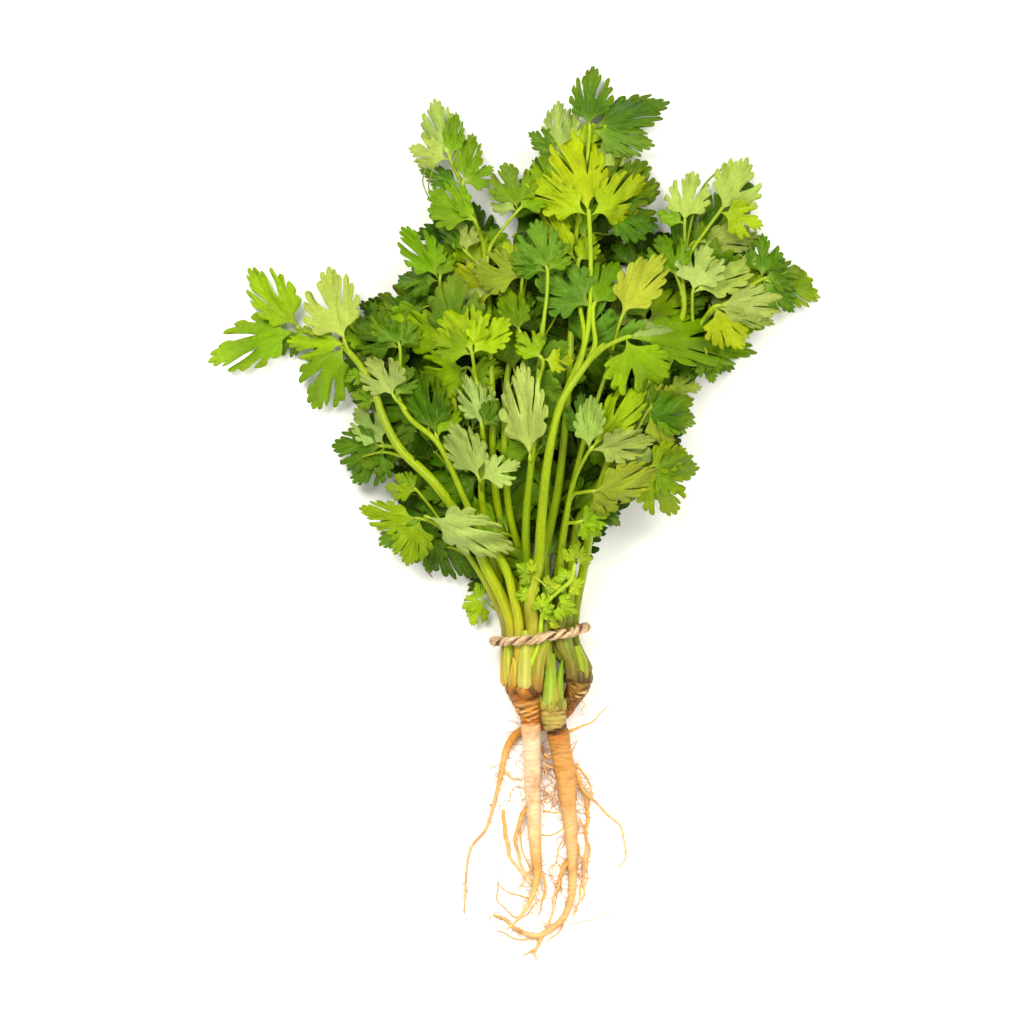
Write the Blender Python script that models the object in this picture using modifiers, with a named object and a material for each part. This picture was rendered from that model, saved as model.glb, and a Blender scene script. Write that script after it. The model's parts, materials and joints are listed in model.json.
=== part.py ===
"""A bunch of coriander with its roots, tied with straw cord and laid on its side.

Three plants lie side by side. Roots point to -Y, leaves to +Y, and the table is z = 0.
Lengths below are in millimetres, measured from the point on the table under the tie;
the whole bunch hangs on one empty, which moves the middle of its underside to the origin.
"""
import math
import random

import bmesh
import bpy
import numpy as np
from mathutils import Vector
from mathutils.bvhtree import BVHTree

MM = 0.001
NAME = "coriander_bunch"
GAP = 0.35                       # clear space left between two neighbours that touch

# ---- the heap of leaves: how high its top surface stands over the table
HEAP_EDGE = 8.0                  # height of the heap at its rim
HEAP_RISE = 60.0                 # how much higher its crown stands
HEAP_MIDDLE = (3.0, 98.0)
HEAP_REACH = (66.0, 74.0)

# ---- leaves
BLADE = 0.8                      # thickness of a leaf blade
BLADE_LOW = 0.75                 # no blade's middle comes nearer to the table than this
BLADE_CLEAR = 1.25               # middle of one blade to the middle of another
STALK_BENDS = 3                  # straight pieces in a side stalk
STALK_SAG = 0.5                  # how far a side stalk follows its stem before it leaves
TRIALS = 60                      # ways that a leaf is turned before it is left out

# ---- the tie and the stems inside it
CORD_RADIUS = 1.9
STEM_RADIUS = 2.3
FOOT_RADIUS = 1.55               # a stem where it leaves its crown
HELD_RADIUS = 2.1                # and at most this just below the tie
STEM_TAPER = 0.62                # how much thinner a stem is at its last leaf
ROW_STEP = 4.2                   # between the rows of stems inside the tie
SLOT_STEP = 5.6                  # between the stems of a row
ROWS = (4, 5, 6, 5, 4)           # stems in each row, from the table up
FLAT_UNDER_TIE = 0.7             # how much of the cord's underside the table has flattened
LOWEST_ROW = 2 * CORD_RADIUS + GAP + STEM_RADIUS - FLAT_UNDER_TIE

HELD_BELOW, HELD_ABOVE = 4.0, 6.5   # the stems run straight this far either side of it
CORD_SLANT, CORD_CURL = 0.15, 0.004
CORD_TURNS = 24                  # straight pieces in the tie
LIFT_FROM_TO = (8.0, 62.0)       # along Y, where a stem rises from its slot into the heap
HELD_POINTS = 4                  # points of a stem that its crown and the tie hold
EASE_ROUNDS, EASE_SPACE, EASE_SHARE = 90, 1.5, 0.25

# ---- crowns: middle of the top (x, y, z) and how the stems spread on it (across, up)
CROWNS = {
    "left": ((-6.6, -19.6, 14.2), (1.15, 0.66)),
    "middle": ((4.9, -26.0, 13.2), (1.1, 0.58)),
    "right": ((15.2, -14.4, 13.0), (0.85, 0.58)),
}
FOOT_STRAIGHT = 1.2              # a stem leaves its crown square to it


def heap(x, y):
    """Height of the heap's top surface at a place on the table."""
    across = (x - HEAP_MIDDLE[0]) / HEAP_REACH[0]
    along = (y - HEAP_MIDDLE[1]) / HEAP_REACH[1]
    return HEAP_EDGE + HEAP_RISE * math.exp(-across * across - along * along)


# Each leafy stem: its plant, its slot in the tie (row from the table up, place in the
# row), how high it runs in the heap (1 is the top surface), its thickness, the route
# seen from above, and its leaves. A leaf is (x, y, height in the heap, leaflets), and a
# leaflet is (heading in degrees, length) or (heading, length, width).
STEMS = (
    ("left", (3, 0), 0.90, 1.12,
     ((-14, 16), (-20, 29), (-27, 42), (-42, 61), (-56, 75), (-63, 88), (-67, 100),
      (-75, 112), (-85, 120), (-96, 123)),
     ((-96, 123, 0.90, ((193, 39, 20), (140, 32, 20), (228, 15))),
      (-78, 117, 1.00, ((108, 31, 24), (180, 23, 15), (237, 28, 22))),
      (-62, 76, 0.72, ((132, 19), (176, 21), (235, 19))),
      (-65, 94, 0.75, ((172, 11),)),
      (-70, 106, 0.85, ((207, 9),)))),
    ("left", (4, 0), 0.86, 0.85,
     ((-10, 16), (-15, 29), (-24, 43), (-29, 53), (-40, 76), (-52, 87), (-57, 97),
      (-56, 108)),
     ((-56, 115, 0.92, ((152, 20), (103, 19), (60, 14))),
      (-58, 95, 0.97, ((117, 19), (66, 14))),
      (-41, 79, 0.85, ((110, 29, 17), (72, 17))))),
    ("left", (3, 1), 0.80, 0.9,
     ((-9, 16), (-17, 30), (-24, 45), (-23.5, 58), (-22.5, 76), (-24, 96), (-27, 108)),
     ((-27, 112, 1.04, ((156, 18), (103, 23), (50, 20))),
      (-28, 108, 0.96, ((200, 21), (243, 16), (-12, 16))),
      (-24, 62, 1.0, ((110, 25, 17), (32, 17))),
      (-23, 83, 0.98, ((105, 22, 13), (58, 13))))),
    ("left", (2, 2), 0.74, 0.9,
     ((-4, 16), (-9, 30), (-14, 50), (-15, 77), (-13, 104), (-9, 122), (-7, 136)),
     ((-7, 143, 1.0, ((172, 20), (120, 16), (75, 14))),
      (-17, 137, 0.95, ((181, 24), (150, 21))),
      (-8, 120, 1.0, ((101, 20, 13),)))),
    ("left", (4, 1), 0.97, 1.2,
     ((-1.5, 16), (-0.5, 30), (0, 46), (3, 70), (8, 92), (18, 108), (26, 117)),
     ((34, 119, 1.04, ((12, 27, 15), (-3, 52, 21), (-64, 25, 26))),
      (19.6, 167.6, 1.12, ((143, 29, 17), (98, 37, 22), (32, 27, 18))),
      (21, 131, 0.98, ((148, 25), (66, 21))),
      (15, 148, 0.98, ((118, 33, 12), (60, 14))))),
    ("right", (3, 3), 0.78, 0.8,
     ((8, 16), (9, 32), (12, 52), (17, 76), (24, 98), (30, 116)),
     ((32, 126, 1.03, ((66, 31, 19),)),
      (37, 110, 0.72, ((-20, 20), (35, 18))))),
    ("middle", (4, 2), 0.68, 0.95,
     ((3, 16), (5, 32), (8, 58), (10, 84), (12, 112), (13, 140), (15, 165), (19, 190)),
     ((20, 203, 1.0, ((94, 25, 19), (27, 33, 17), (-14, 26, 15))),
      (25, 171, 0.85, ((58, 26), (22, 25), (-10, 23))),
      (24, 186, 0.98, ((64, 18),)),
      (8, 193, 0.98, ((97, 21, 14), (143, 15))))),
    ("right", (4, 3), 0.90, 0.95,
     ((7, 16), (8.5, 32), (11, 50), (13, 62)),
     ((19.6, 74, 1.04, ((97, 21, 13), (48, 34, 17), (10, 26, 13))),
      (20, 57, 0.92, ((12, 29, 17), (-30, 14))),
      (14, 47, 0.82, ((26, 14), (-32, 11))))),
    ("right", (3, 4), 0.80, 0.85,
     ((10.5, 16), (12, 32), (17, 47), (27, 60), (36, 66)),
     ((43, 67, 0.95, ((30, 17), (-8, 20), (-60, 21))),
      (44, 89, 0.97, ((38, 15), (-8, 20), (-50, 17))),
      (30, 66, 0.9, ((18, 18),)))),
    ("right", (2, 5), 0.84, 0.9,
     ((13.5, 16), (15, 34), (21, 56), (32, 82), (46, 107), (57, 128), (57, 144), (59, 156)),
     ((58, 165, 1.05, ((86, 21, 17), (150, 12))),
      (72, 170, 1.05, ((56, 24, 21), (-8, 18))),
      (62, 158, 0.95, ((3, 27, 14),)),
      (55, 143, 1.0, ((106, 19),)))),
    ("right", (2, 4), 0.76, 0.9,
     ((9, 16), (13, 36), (25, 60), (40, 88), (54, 113), (68, 129), (80, 138)),
     ((89, 143, 0.95, ((88, 18), (18, 17), (-8, 24, 17), (-48, 18))),
      (70, 132, 1.02, ((12, 31, 16), (-16, 25, 10), (-62, 20))),
      (61, 137, 1.05, ((75, 21), (33, 29, 18))),
      (66, 115, 0.85, ((-75, 14),)),
      (49, 98, 0.9, ((15, 15),)))),
    ("left", (2, 1), 0.72, 0.85,
     ((-7, 16), (-12, 34), (-17, 62), (-19, 92), (-20, 122), (-22, 152), (-26, 166),
      (-31, 181), (-35, 189)),
     ((-36, 191, 1.0, ((163, 17), (105, 25, 16), (78, 19, 9))),
      (-31, 181, 0.9, ((166, 18, 10), (76, 21, 12), (35, 14))),
      (-26, 166, 0.95, ((150, 22), (128, 14, 7))),
      (-9, 170, 1.0, ((150, 14), (99, 20), (45, 16))),
      (-29, 153, 1.0, ((96, 14), (135, 17, 7))))),
    ("left", (1, 1), 0.70, 0.85,
     ((-14, 16), (-19, 32), (-27, 56), (-33, 84), (-36, 110), (-39, 134)),
     ((-40, 142, 1.0, ((120, 26, 15), (176, 17), (85, 14))),
      (-48, 127, 0.7, ((150, 20), (105, 18), (200, 17))))),
    ("left", (2, 0), 0.95, 0.8,
     ((-17, 14), (-24, 26), (-33, 38), (-41, 46)),
     ((-48, 47, 1.05, ((178, 24, 14), (216, 19), (256, 19))),
      (-46, 48, 1.32, ((-19, 37, 17),)),
      (-45, 43, 0.8, ((-50, 27), (-88, 18))),
      (-49, 58, 0.9, ((172, 13), (140, 11))))),
    ("left", (1, 0), 0.70, 0.6,
     ((-14, 12),),
     ((-21, 13, 0.8, ((196, 10), (120, 8), (238, 12))),)),
    ("middle", (3, 2), 0.92, 0.95,
     ((-3, 16), (-5, 32), (-5, 48), (-3, 74), (-1, 100), (1, 126)),
     ((3, 145, 0.97, ((100, 22), (150, 17), (55, 15))),
      (1, 110, 1.03, ((132, 15), (-2, 12))),
      (-4, 70, 0.98, ((93, 38, 20),)))),
    # stems whose leaves lie inside the heap and under it
    ("left", (0, 0), 0.30, 0.9,
     ((-13, 20), (-24, 40), (-38, 62), (-50, 86), (-57, 102)),
     ((-62, 112, 0.35, ((150, 24), (100, 18), (200, 22))),
      (-52, 90, 0.3, ((170, 24), (120, 20), (222, 20))),
      (-34, 58, 0.3, ((165, 22), (215, 22), (120, 18))))),
    ("left", (0, 1), 0.45, 0.9,
     ((-7, 18), (-13, 42), (-23, 74), (-30, 102), (-35, 122)),
     ((-38, 132, 0.5, ((140, 22), (95, 22), (185, 22))),
      (-30, 104, 0.45, ((145, 22), (90, 20), (200, 20))))),
    ("middle", (1, 2), 0.12, 0.9,
     ((-4, 20), (-12, 46), (-20, 78), (-24, 110), (-25, 138)),
     ((-26, 150, 0.2, ((140, 24), (90, 24), (190, 20))),
      (-22, 84, 0.12, ((150, 24), (200, 22), (100, 20))),
      (-24, 120, 0.15, ((175, 24), (120, 22), (60, 18))))),
    ("middle", (2, 3), 0.35, 0.9,
     ((1, 20), (0, 50), (-1, 84), (-1, 120), (0, 146), (2, 160)),
     ((2, 168, 0.6, ((140, 22), (92, 24), (45, 24))),
      (-2, 128, 0.5, ((140, 20), (92, 20), (40, 20))),
      (0, 84, 0.45, ((130, 20), (60, 20))))),
    ("middle", (0, 2), 0.10, 0.9,
     ((2, 22), (3, 52), (5, 90), (6, 128), (8, 156)),
     ((10, 166, 0.22, ((125, 24), (80, 26), (35, 24))),
      (4, 100, 0.10, ((120, 24), (60, 24), (0, 22))))),
    ("right", (1, 3), 0.42, 0.9,
     ((7, 20), (12, 46), (22, 78), (32, 106), (37, 124)),
     ((42, 134, 0.55, ((100, 20), (50, 24), (5, 22))),
      (28, 92, 0.5, ((80, 20), (20, 20), (-30, 20))))),
    ("right", (1, 4), 0.28, 0.9,
     ((11, 20), (14, 38), (26, 62), (42, 90), (53, 108)),
     ((60, 116, 0.4, ((70, 22), (20, 22), (-30, 20))),
      (44, 88, 0.3, ((50, 20), (0, 18), (-50, 18))),
      (22, 54, 0.35, ((10, 16), (-40, 14))))),
    ("right", (0, 3), 0.10, 0.9,
     ((9, 20), (13, 44), (22, 78), (31, 110), (36, 134)),
     ((38, 146, 0.2, ((100, 20), (45, 24), (-5, 22))),
      (24, 84, 0.10, ((40, 24), (-10, 24), (-60, 20))),
      (34, 122, 0.15, ((10, 24), (-35, 22), (60, 18))))),
)

# Each root: its colour, then the taproot as (x, y, z, radius) and the side roots
# likewise; the crown is the wide first stretch.
ROOTS = {
    "root_left": ((0.86, 0.60, 0.30), (
        (-6.8, -20.1, 14.2, 6.7), (-6.8, -21.3, 14.2, 6.9), (-5.9, -24.0, 14.0, 6.5),
        (-4.9, -28, 13.4, 5.4),
        (-4.0, -32.5, 12.4, 4.3), (-3.6, -38, 11.2, 3.9), (-3.2, -44, 9.6, 3.6),
        (-3.0, -55, 7.0, 3.4), (-2.8, -66, 5.2, 3.2), (-2.2, -78, 4.0, 2.8),
        (-1.2, -90, 3.6, 2.3), (-0.9, -97, 3.9, 1.7), (-2.6, -104, 4.4, 1.3),
        (-5.6, -110, 4.9, 1.1), (-9.4, -115, 5.1, 0.9), (-13.5, -118.6, 4.6, 0.7)),
        (((-4.0, -67, 5.2, 1.2), (-9.0, -78, 3.0, 1.1), (-8.6, -90, 2.2, 0.9),
          (-3.6, -98.6, 3.6, 0.8)),
         ((-14.6, -70.6, 1.6, 0.9), (-13.6, -82, 1.4, 1.1), (-10.9, -91, 1.8, 0.9),
          (-3.0, -100.5, 4.0, 0.8)),
         ((-1.0, -93, 3.6, 1.1), (2.2, -101, 3.2, 0.8), (1.2, -108, 3.0, 0.7),
          (-1.2, -114.5, 3.0, 0.6)),
         ((-1.6, -92, 3.6, 1.0), (-5.2, -97, 2.0, 0.7), (-9.4, -103, 1.2, 0.6)))),
    "root_middle": ((0.84, 0.58, 0.30), (
        (5.0, -26.5, 13.2, 4.3), (5.3, -31.5, 13.2, 5.0), (6.0, -35.2, 12.6, 5.0),
        (6.8, -37.2, 12.0, 4.2), (7.4, -40, 10.9, 4.6), (8.8, -48, 8.8, 4.3),
        (11, -58, 6.6, 4.3), (12, -66, 5.2, 4.0), (13.6, -76, 4.1, 3.3),
        (14.8, -86, 3.3, 2.8), (14.8, -97, 2.6, 2.2), (13.4, -106, 2.1, 1.8),
        (9.6, -114, 1.8, 1.5), (3.6, -118.6, 1.6, 1.3), (-1.6, -120.8, 1.5, 1.2),
        (-9.6, -118, 1.3, 1.0), (-14, -114, 1.2, 0.9), (-19.2, -112.4, 1.0, 0.7)),
        (((10.5, -39, 10.5, 1.0), (18, -36.4, 6.6, 0.8), (24.4, -31.6, 3.0, 0.7),
          (28, -27.8, 1.2, 0.6)),
         ((11, -50, 8.4, 1.1), (18.8, -63.6, 4.2, 0.9), (26.4, -71.2, 1.6, 0.8),
          (33.4, -79, 1.0, 0.7), (34.4, -89.6, 0.9, 0.6), (31.4, -94, 0.9, 0.6)),
         ((12.5, -56, 6.6, 1.2), (18.2, -64, 2.2, 1.1), (19.0, -76, 1.3, 1.0),
          (18.4, -90, 1.2, 0.9), (17.4, -107, 1.1, 0.6)),
         ((1.8, -119.6, 1.6, 1.1), (-2.0, -127.6, 1.3, 0.9), (-0.6, -131.4, 1.0, 0.6)),
         ((-1.4, -126.4, 1.3, 0.8), (-7.2, -129.4, 1.0, 0.6)),
         ((13.0, -88, 3.2, 1.2), (8.2, -98, 1.6, 1.0), (5.2, -110, 1.3, 0.8),
          (3.2, -118, 1.5, 0.8)))),
    "root_right": ((0.52, 0.33, 0.15), (
        (15.5, -14.9, 13.0, 4.7), (15.5, -16.1, 13.0, 4.9), (15.6, -19.4, 12.2, 4.9),
        (14.2, -23, 9.8, 4.3),
        (12.0, -27.4, 5.8, 3.3), (9.4, -31.8, 3.0, 2.4), (1.0, -36.5, 2.2, 2.0),
        (-7.2, -38.6, 2.0, 1.8), (-11.5, -42.5, 1.9, 1.7), (-14, -48, 1.8, 1.6),
        (-15.6, -56, 1.6, 1.4), (-18.2, -67, 1.4, 1.2), (-21.6, -78, 1.3, 1.1),
        (-28, -86.6, 1.2, 0.9), (-30, -101.6, 1.0, 0.8), (-30.4, -112.4, 0.9, 0.6)),
        (((-15.2, -54, 1.7, 1.0), (-11.2, -57.6, 1.2, 0.7), (-7.6, -58, 1.0, 0.6)),)),
}
TALL_CROWN = 1.28                # a crown is this much taller than wide at its top
CROWN_LENGTH = 13.0              # and round this far below it

COLOURS = {
    "pale_leaf": (0.33, 0.50, 0.05),
    "leaf": (0.16, 0.33, 0.03),
    "cord": (0.62, 0.40, 0.22),
}
PALE_ABOVE = 0.8                 # leaves on top of the heap are the paler green

# Margin of a leaflet: lobe tips and the cuts between them, each as a share of the
# half-angle it opens to and of the leaflet's length.
MARGIN = ((-1.0, 0.62), (-0.80, 0.58), (-0.56, 0.87), (-0.27, 0.55), (0.0, 1.0),
          (0.27, 0.55), (0.56, 0.87), (0.80, 0.58), (1.0, 0.62))
SMALL_MARGIN = ((-1.0, 0.66), (-0.42, 0.56), (0.0, 1.0), (0.42, 0.56), (1.0, 0.66))
OPEN_HALF = 38.0                 # half-angle from which a leaflet has the full margin
SMALL_LEAFLET = 22.5             # leaflets shorter than this get the small margin
INNER = 0.6                      # leaves lower in the heap than this get it too
USUAL_WIDTH = 0.90               # width of a leaflet as a share of its length
RIB_AT = 0.48                    # where the rib bends, as a share of the length
SINUS = 0.13                     # how far out two leaflets of a leaf are joined


# ------------------------------------------------------------------ stems
def slot_place(slot):
    """Where a slot stands inside the tie, as (x, z)."""
    row, place = slot
    return ((place - (ROWS[row] - 1) / 2) * SLOT_STEP, LOWEST_ROW + row * ROW_STEP)


def smooth_step(low, high, value):
    share = min(1.0, max(0.0, (value - low) / (high - low)))
    return share * share * (3 - 2 * share)


def cord_y(x):
    """Where the cord crosses a place in the bundle: it slants and curls forward."""
    return -1.0 + CORD_SLANT * x + CORD_CURL * x * x


def stem_guide(stem, group_middle):
    """Corner points of a stem from its crown to its last leaf, before it is eased."""
    plant, slot, level, _, route, _ = stem
    x, z = slot_place(slot)
    (cx, cy, cz), (across, up) = CROWNS[plant]
    foot_x, foot_z = cx + (x - group_middle[0]) * across, cz + (z - group_middle[1]) * up
    held = cord_y(x)
    points = [(foot_x, cy, foot_z), (foot_x, cy + FOOT_STRAIGHT, foot_z),
              (x, held - HELD_BELOW, z), (x, held + HELD_ABOVE, z)]
    for px, py in route:
        lift = smooth_step(*LIFT_FROM_TO, py)
        points.append((px, py, z + (level * heap(px, py) - z) * lift))
    return np.array(points)


def ease_apart(guides, radii):
    """Push stems that run too close to each other apart, keeping their ends in the tie."""
    shares = []
    for guide in guides:
        rows = []
        for index in range(len(guide) - 1):
            steps = max(2, int(np.linalg.norm(guide[index + 1] - guide[index]) / 2.5))
            for step in range(steps):
                row = np.zeros(len(guide))
                row[index], row[index + 1] = 1 - step / steps, step / steps
                rows.append(row)
        last = np.zeros(len(guide))
        last[-1] = 1.0
        shares.append(np.array(rows + [last]))
    for _ in range(EASE_ROUNDS):
        samples = [share @ guide for share, guide in zip(shares, guides)]
        pushes = [np.zeros_like(sample) for sample in samples]
        for one in range(len(guides)):
            for other in range(one + 1, len(guides)):
                away = samples[one][:, None, :] - samples[other][None, :, :]
                far = np.linalg.norm(away, axis=2)
                need = radii[one] + radii[other] + EASE_SPACE
                short = np.clip(need - far, 0, None)
                if not short.any():
                    continue
                push = away / np.maximum(far, 1e-6)[:, :, None] * short[:, :, None]
                pushes[one] += push.sum(axis=1) * EASE_SHARE
                pushes[other] -= push.sum(axis=0) * EASE_SHARE
        for guide, share, push in zip(guides, shares, pushes):
            move = share.T @ push / share.sum(axis=0)[:, None]
            move[:HELD_POINTS] = 0.0
            guide += np.clip(move, -1.0, 1.0)
            guide[HELD_POINTS:, 2] = np.maximum(guide[HELD_POINTS:, 2], STEM_RADIUS + 0.5)
    return guides


def stem_radii(scale, count):
    """Radius at each point of a stem: narrow at the foot, full at the tie, thin at the end."""
    full = STEM_RADIUS * scale
    radii = [FOOT_RADIUS, FOOT_RADIUS, min(full, HELD_RADIUS), full]
    for index in range(1, count - 3):
        radii.append(full * (1.0 - STEM_TAPER * index / (count - 4)))
    return radii


# ------------------------------------------------------------------ leaves
def leaf_angles(leaflets):
    """Leaflets in order round the leaf, each with the half-angles that it opens to."""
    around = sorted(leaflets, key=lambda leaflet: leaflet[0] % 360)
    gaps = [(around[index][0] - around[index - 1][0]) % 360 for index in range(len(around))]
    first = gaps.index(max(gaps))
    around = around[first:] + around[:first]
    opened = []
    for index, leaflet in enumerate(around):
        heading, length = leaflet[:2]
        width = leaflet[2] if len(leaflet) > 2 else length * USUAL_WIDTH
        half = math.degrees(math.asin(min(0.86, width / (1.30 * length))))
        low = high = half
        if index > 0:
            low = min(half, (heading - around[index - 1][0]) % 360 * 0.48)
        if index < len(around) - 1:
            high = min(half, (around[index + 1][0] - heading) % 360 * 0.48)
        opened.append((heading, length, low, high))
    return opened


def leaflet_lift(length, along, across, phase):
    """Height of a leaflet's surface over its stalk: folded along the rib and drooping."""
    share = along / length
    droop = 0.16 * length * share * share
    fold = 0.24 * abs(across)
    wave = 0.035 * length * share * math.sin(phase + 5.0 * across / length)
    return fold - droop + wave


class Pose:
    """How one leaf sits: its place, its tilt and the phases of its waves."""

    def __init__(self, leaf, level, trial, draw):
        shift = (trial + 1) // 2 * (2.2 if trial % 2 else -2.2)
        spread = min(1.0, 0.25 + trial * 0.03)
        self.leaf = leaf
        self.turn = draw.uniform(-10, 10) * spread * (trial > 3)
        self.size = 1.0 - 0.004 * trial
        self.slope = (draw.uniform(-0.35, 0.35) * spread, draw.uniform(-0.35, 0.35) * spread)
        self.level = level
        x = leaf[0] + draw.uniform(-3, 3) * spread * (trial > 7)
        y = leaf[1] + draw.uniform(-3, 3) * spread * (trial > 7)
        self.node = (x, y, max(1.6, level * heap(x, y) + shift * 0.5))
        self.phase = [draw.uniform(0, 6.28) for _ in leaf[3]]

    def place(self, heading, along, across, length, phase):
        """A point of a leaflet's surface, from its place along and across the rib."""
        angle = math.radians(heading + self.turn)
        dx = along * math.cos(angle) - across * math.sin(angle)
        dy = along * math.sin(angle) + across * math.cos(angle)
        x, y, z = self.node
        lean = 0.85 * self.level * (heap(x + dx, y + dy) - heap(x, y))
        height = z + lean + self.slope[0] * dx + self.slope[1] * dy
        height += leaflet_lift(length, along, across, phase)
        return Vector((x + dx, y + dy, max(BLADE_LOW, height)))


def blade_surface(pose):
    """The leaf as one open surface: corner points and triangles, cut to the ribs."""
    points = [pose.place(0.0, 0.0, 0.0, 1.0, 0.0)]
    faces = []
    leaflets = leaf_angles(pose.leaf[3])
    draw = random.Random(len(pose.leaf[3]) * 1000 + int(pose.leaf[0] * 7 + pose.leaf[1]))
    previous = None
    for index, (heading, length, low, high) in enumerate(leaflets):
        length *= pose.size
        phase = pose.phase[index]
        rim = []
        if previous is not None:
            rim.append(previous)
        fine = length > SMALL_LEAFLET and pose.level > INNER
        margin = MARGIN if fine else SMALL_MARGIN
        for share, reach in margin:
            half = high if share > 0 else low
            angle = math.radians(share * half)
            fuller = 1.0 - (1.0 - reach) * min(1.0, half / OPEN_HALF)
            radius = length * fuller * draw.uniform(0.95, 1.03)
            points.append(pose.place(heading, radius * math.cos(angle),
                                     radius * math.sin(angle), length, phase))
            rim.append(len(points) - 1)
        if index < len(leaflets) - 1:
            ahead = leaflets[index + 1]
            angle = math.radians((ahead[0] - heading) % 360 / 2)
            sinus = SINUS * min(length, ahead[1])
            points.append(pose.place(heading, sinus * math.cos(angle),
                                     sinus * math.sin(angle), length, phase))
            previous = len(points) - 1
            rim.append(previous)
        points.append(pose.place(heading, length * RIB_AT, 0.0, length, phase))
        rib = len(points) - 1
        ring = [0] + rim
        for first, second in zip(ring, ring[1:] + ring[:1]):
            faces.append((rib, first, second))
    return points, faces


def turned(heading, aim):
    """Angle between two directions, in degrees."""
    return abs((heading - aim + 180) % 360 - 180)


def stalk_line(stem_points, pose):
    """Side stalk from a stem to a leaf: it leaves along the stem and bends to the leaf."""
    node = Vector(pose.node)
    dense = [Vector(a) + (Vector(b) - Vector(a)) * (step / 6)
             for a, b in zip(stem_points[3:], stem_points[4:]) for step in range(6)]
    dense.append(Vector(stem_points[-1]))
    near = min(range(len(dense)), key=lambda index: (dense[index] - node).length)
    span = (dense[near] - node).length
    back = near
    walked = 0.0
    while back > 0 and walked < span * STALK_SAG + 3.0:
        walked += (dense[back] - dense[back - 1]).length
        back -= 1
    start = dense[back]
    ahead = (dense[min(back + 2, len(dense) - 1)] - start).normalized()
    reach = (node - start).length
    aim = math.degrees(math.atan2(node.y - start.y, node.x - start.x))
    heading, length = min(pose.leaf[3], key=lambda leaflet: turned(leaflet[0], aim))[:2]
    rib = pose.place(heading, min(3.0, 0.2 * length), 0.0, length, 0.0)
    entry = (rib - node).normalized().lerp((node - start).normalized(), 0.5).normalized()
    points = []
    for step in range(STALK_BENDS + 1):
        t = step / STALK_BENDS
        keep = 1 - t
        bend_a = start + ahead * (reach * 0.38)
        bend_b = node - entry * (reach * 0.28) - Vector((0, 0, reach * 0.06))
        points.append(start * keep ** 3 + bend_a * (3 * keep * keep * t)
                      + bend_b * (3 * keep * t * t) + node * t ** 3)
    points.append(rib)
    return points


def walk(points, step=1.5):
    """Points at even steps along a line."""
    walked = []
    for first, second in zip(points, points[1:]):
        count = max(1, int((second - first).length / step))
        walked += [first.lerp(second, index / count) for index in range(count)]
    walked.append(points[-1])
    return walked


class Heap:
    """What is already in place, so that the next leaf can be kept clear of it."""

    def __init__(self):
        self.blades = []             # (owner, tree, test points, low corner, high corner)
        self.tubes = []              # (owner, points, radius)

    def add_tube(self, owner, points, radii):
        line = walk(points)
        spread = np.interp(np.linspace(0, 1, len(line)), np.linspace(0, 1, len(radii)), radii)
        self.tubes.append((owner, np.array([tuple(point) for point in line]), spread))

    def add_blade(self, owner, points, faces):
        self.blades.append((owner, BVHTree.FromPolygons(points, faces),
                            face_points(points, faces), *corners(points)))

    def clear(self, owner, points, faces, stalk, stalk_radius):
        low, high = corners(points)
        tree = BVHTree.FromPolygons(points, faces)
        tests = face_points(points, faces)
        stalk_points = walk(stalk)
        line = np.array([tuple(point) for point in stalk_points])
        for other, other_tree, other_tests, other_low, other_high in self.blades:
            if not apart(low, high, other_low, other_high, BLADE_CLEAR):
                if tree.overlap(other_tree):
                    return False
                if any(other_tree.find_nearest(point, BLADE_CLEAR)[0] for point in tests):
                    return False
                if any(tree.find_nearest(point, BLADE_CLEAR)[0] for point in other_tests):
                    return False
            reach = stalk_radius + BLADE / 2 + GAP
            if any(other_tree.find_nearest(point, reach)[0] for point in stalk_points[2:]):
                return False
        for other, tube, radii in self.tubes:
            if other == owner:
                continue
            inside = np.all((tube > np.array(low) - 4) & (tube < np.array(high) + 4), axis=1)
            for point, radius in zip(tube[inside], radii[inside]):
                if tree.find_nearest(Vector(point), radius + BLADE / 2 + GAP)[0]:
                    return False
            far = np.linalg.norm(line[:, None, :] - tube[None, :, :], axis=2)
            if np.any(far < radii[None, :] + stalk_radius + GAP + 0.2):
                return False
        return True


def corners(points):
    return (tuple(min(point[axis] for point in points) for axis in range(3)),
            tuple(max(point[axis] for point in points) for axis in range(3)))


def apart(low, high, other_low, other_high, space):
    return any(low[axis] > other_high[axis] + space or other_low[axis] > high[axis] + space
               for axis in range(3))


def face_points(points, faces):
    """Corners, edge middles and face middles of a surface."""
    tests = list(points)
    for face in faces:
        a, b, c = (points[index] for index in face)
        tests += [(a + b) / 2, (b + c) / 2, (a + b + c) / 3]
    return tests


# ------------------------------------------------------------------ objects
def material(name, colour, roughness):
    made = bpy.data.materials.new(name)
    made.use_nodes = True
    shader = made.node_tree.nodes["Principled BSDF"]
    shader.inputs["Base Color"].default_value = (*colour, 1.0)
    shader.inputs["Roughness"].default_value = roughness
    shader.inputs["Metallic"].default_value = 0.0
    return made


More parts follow.
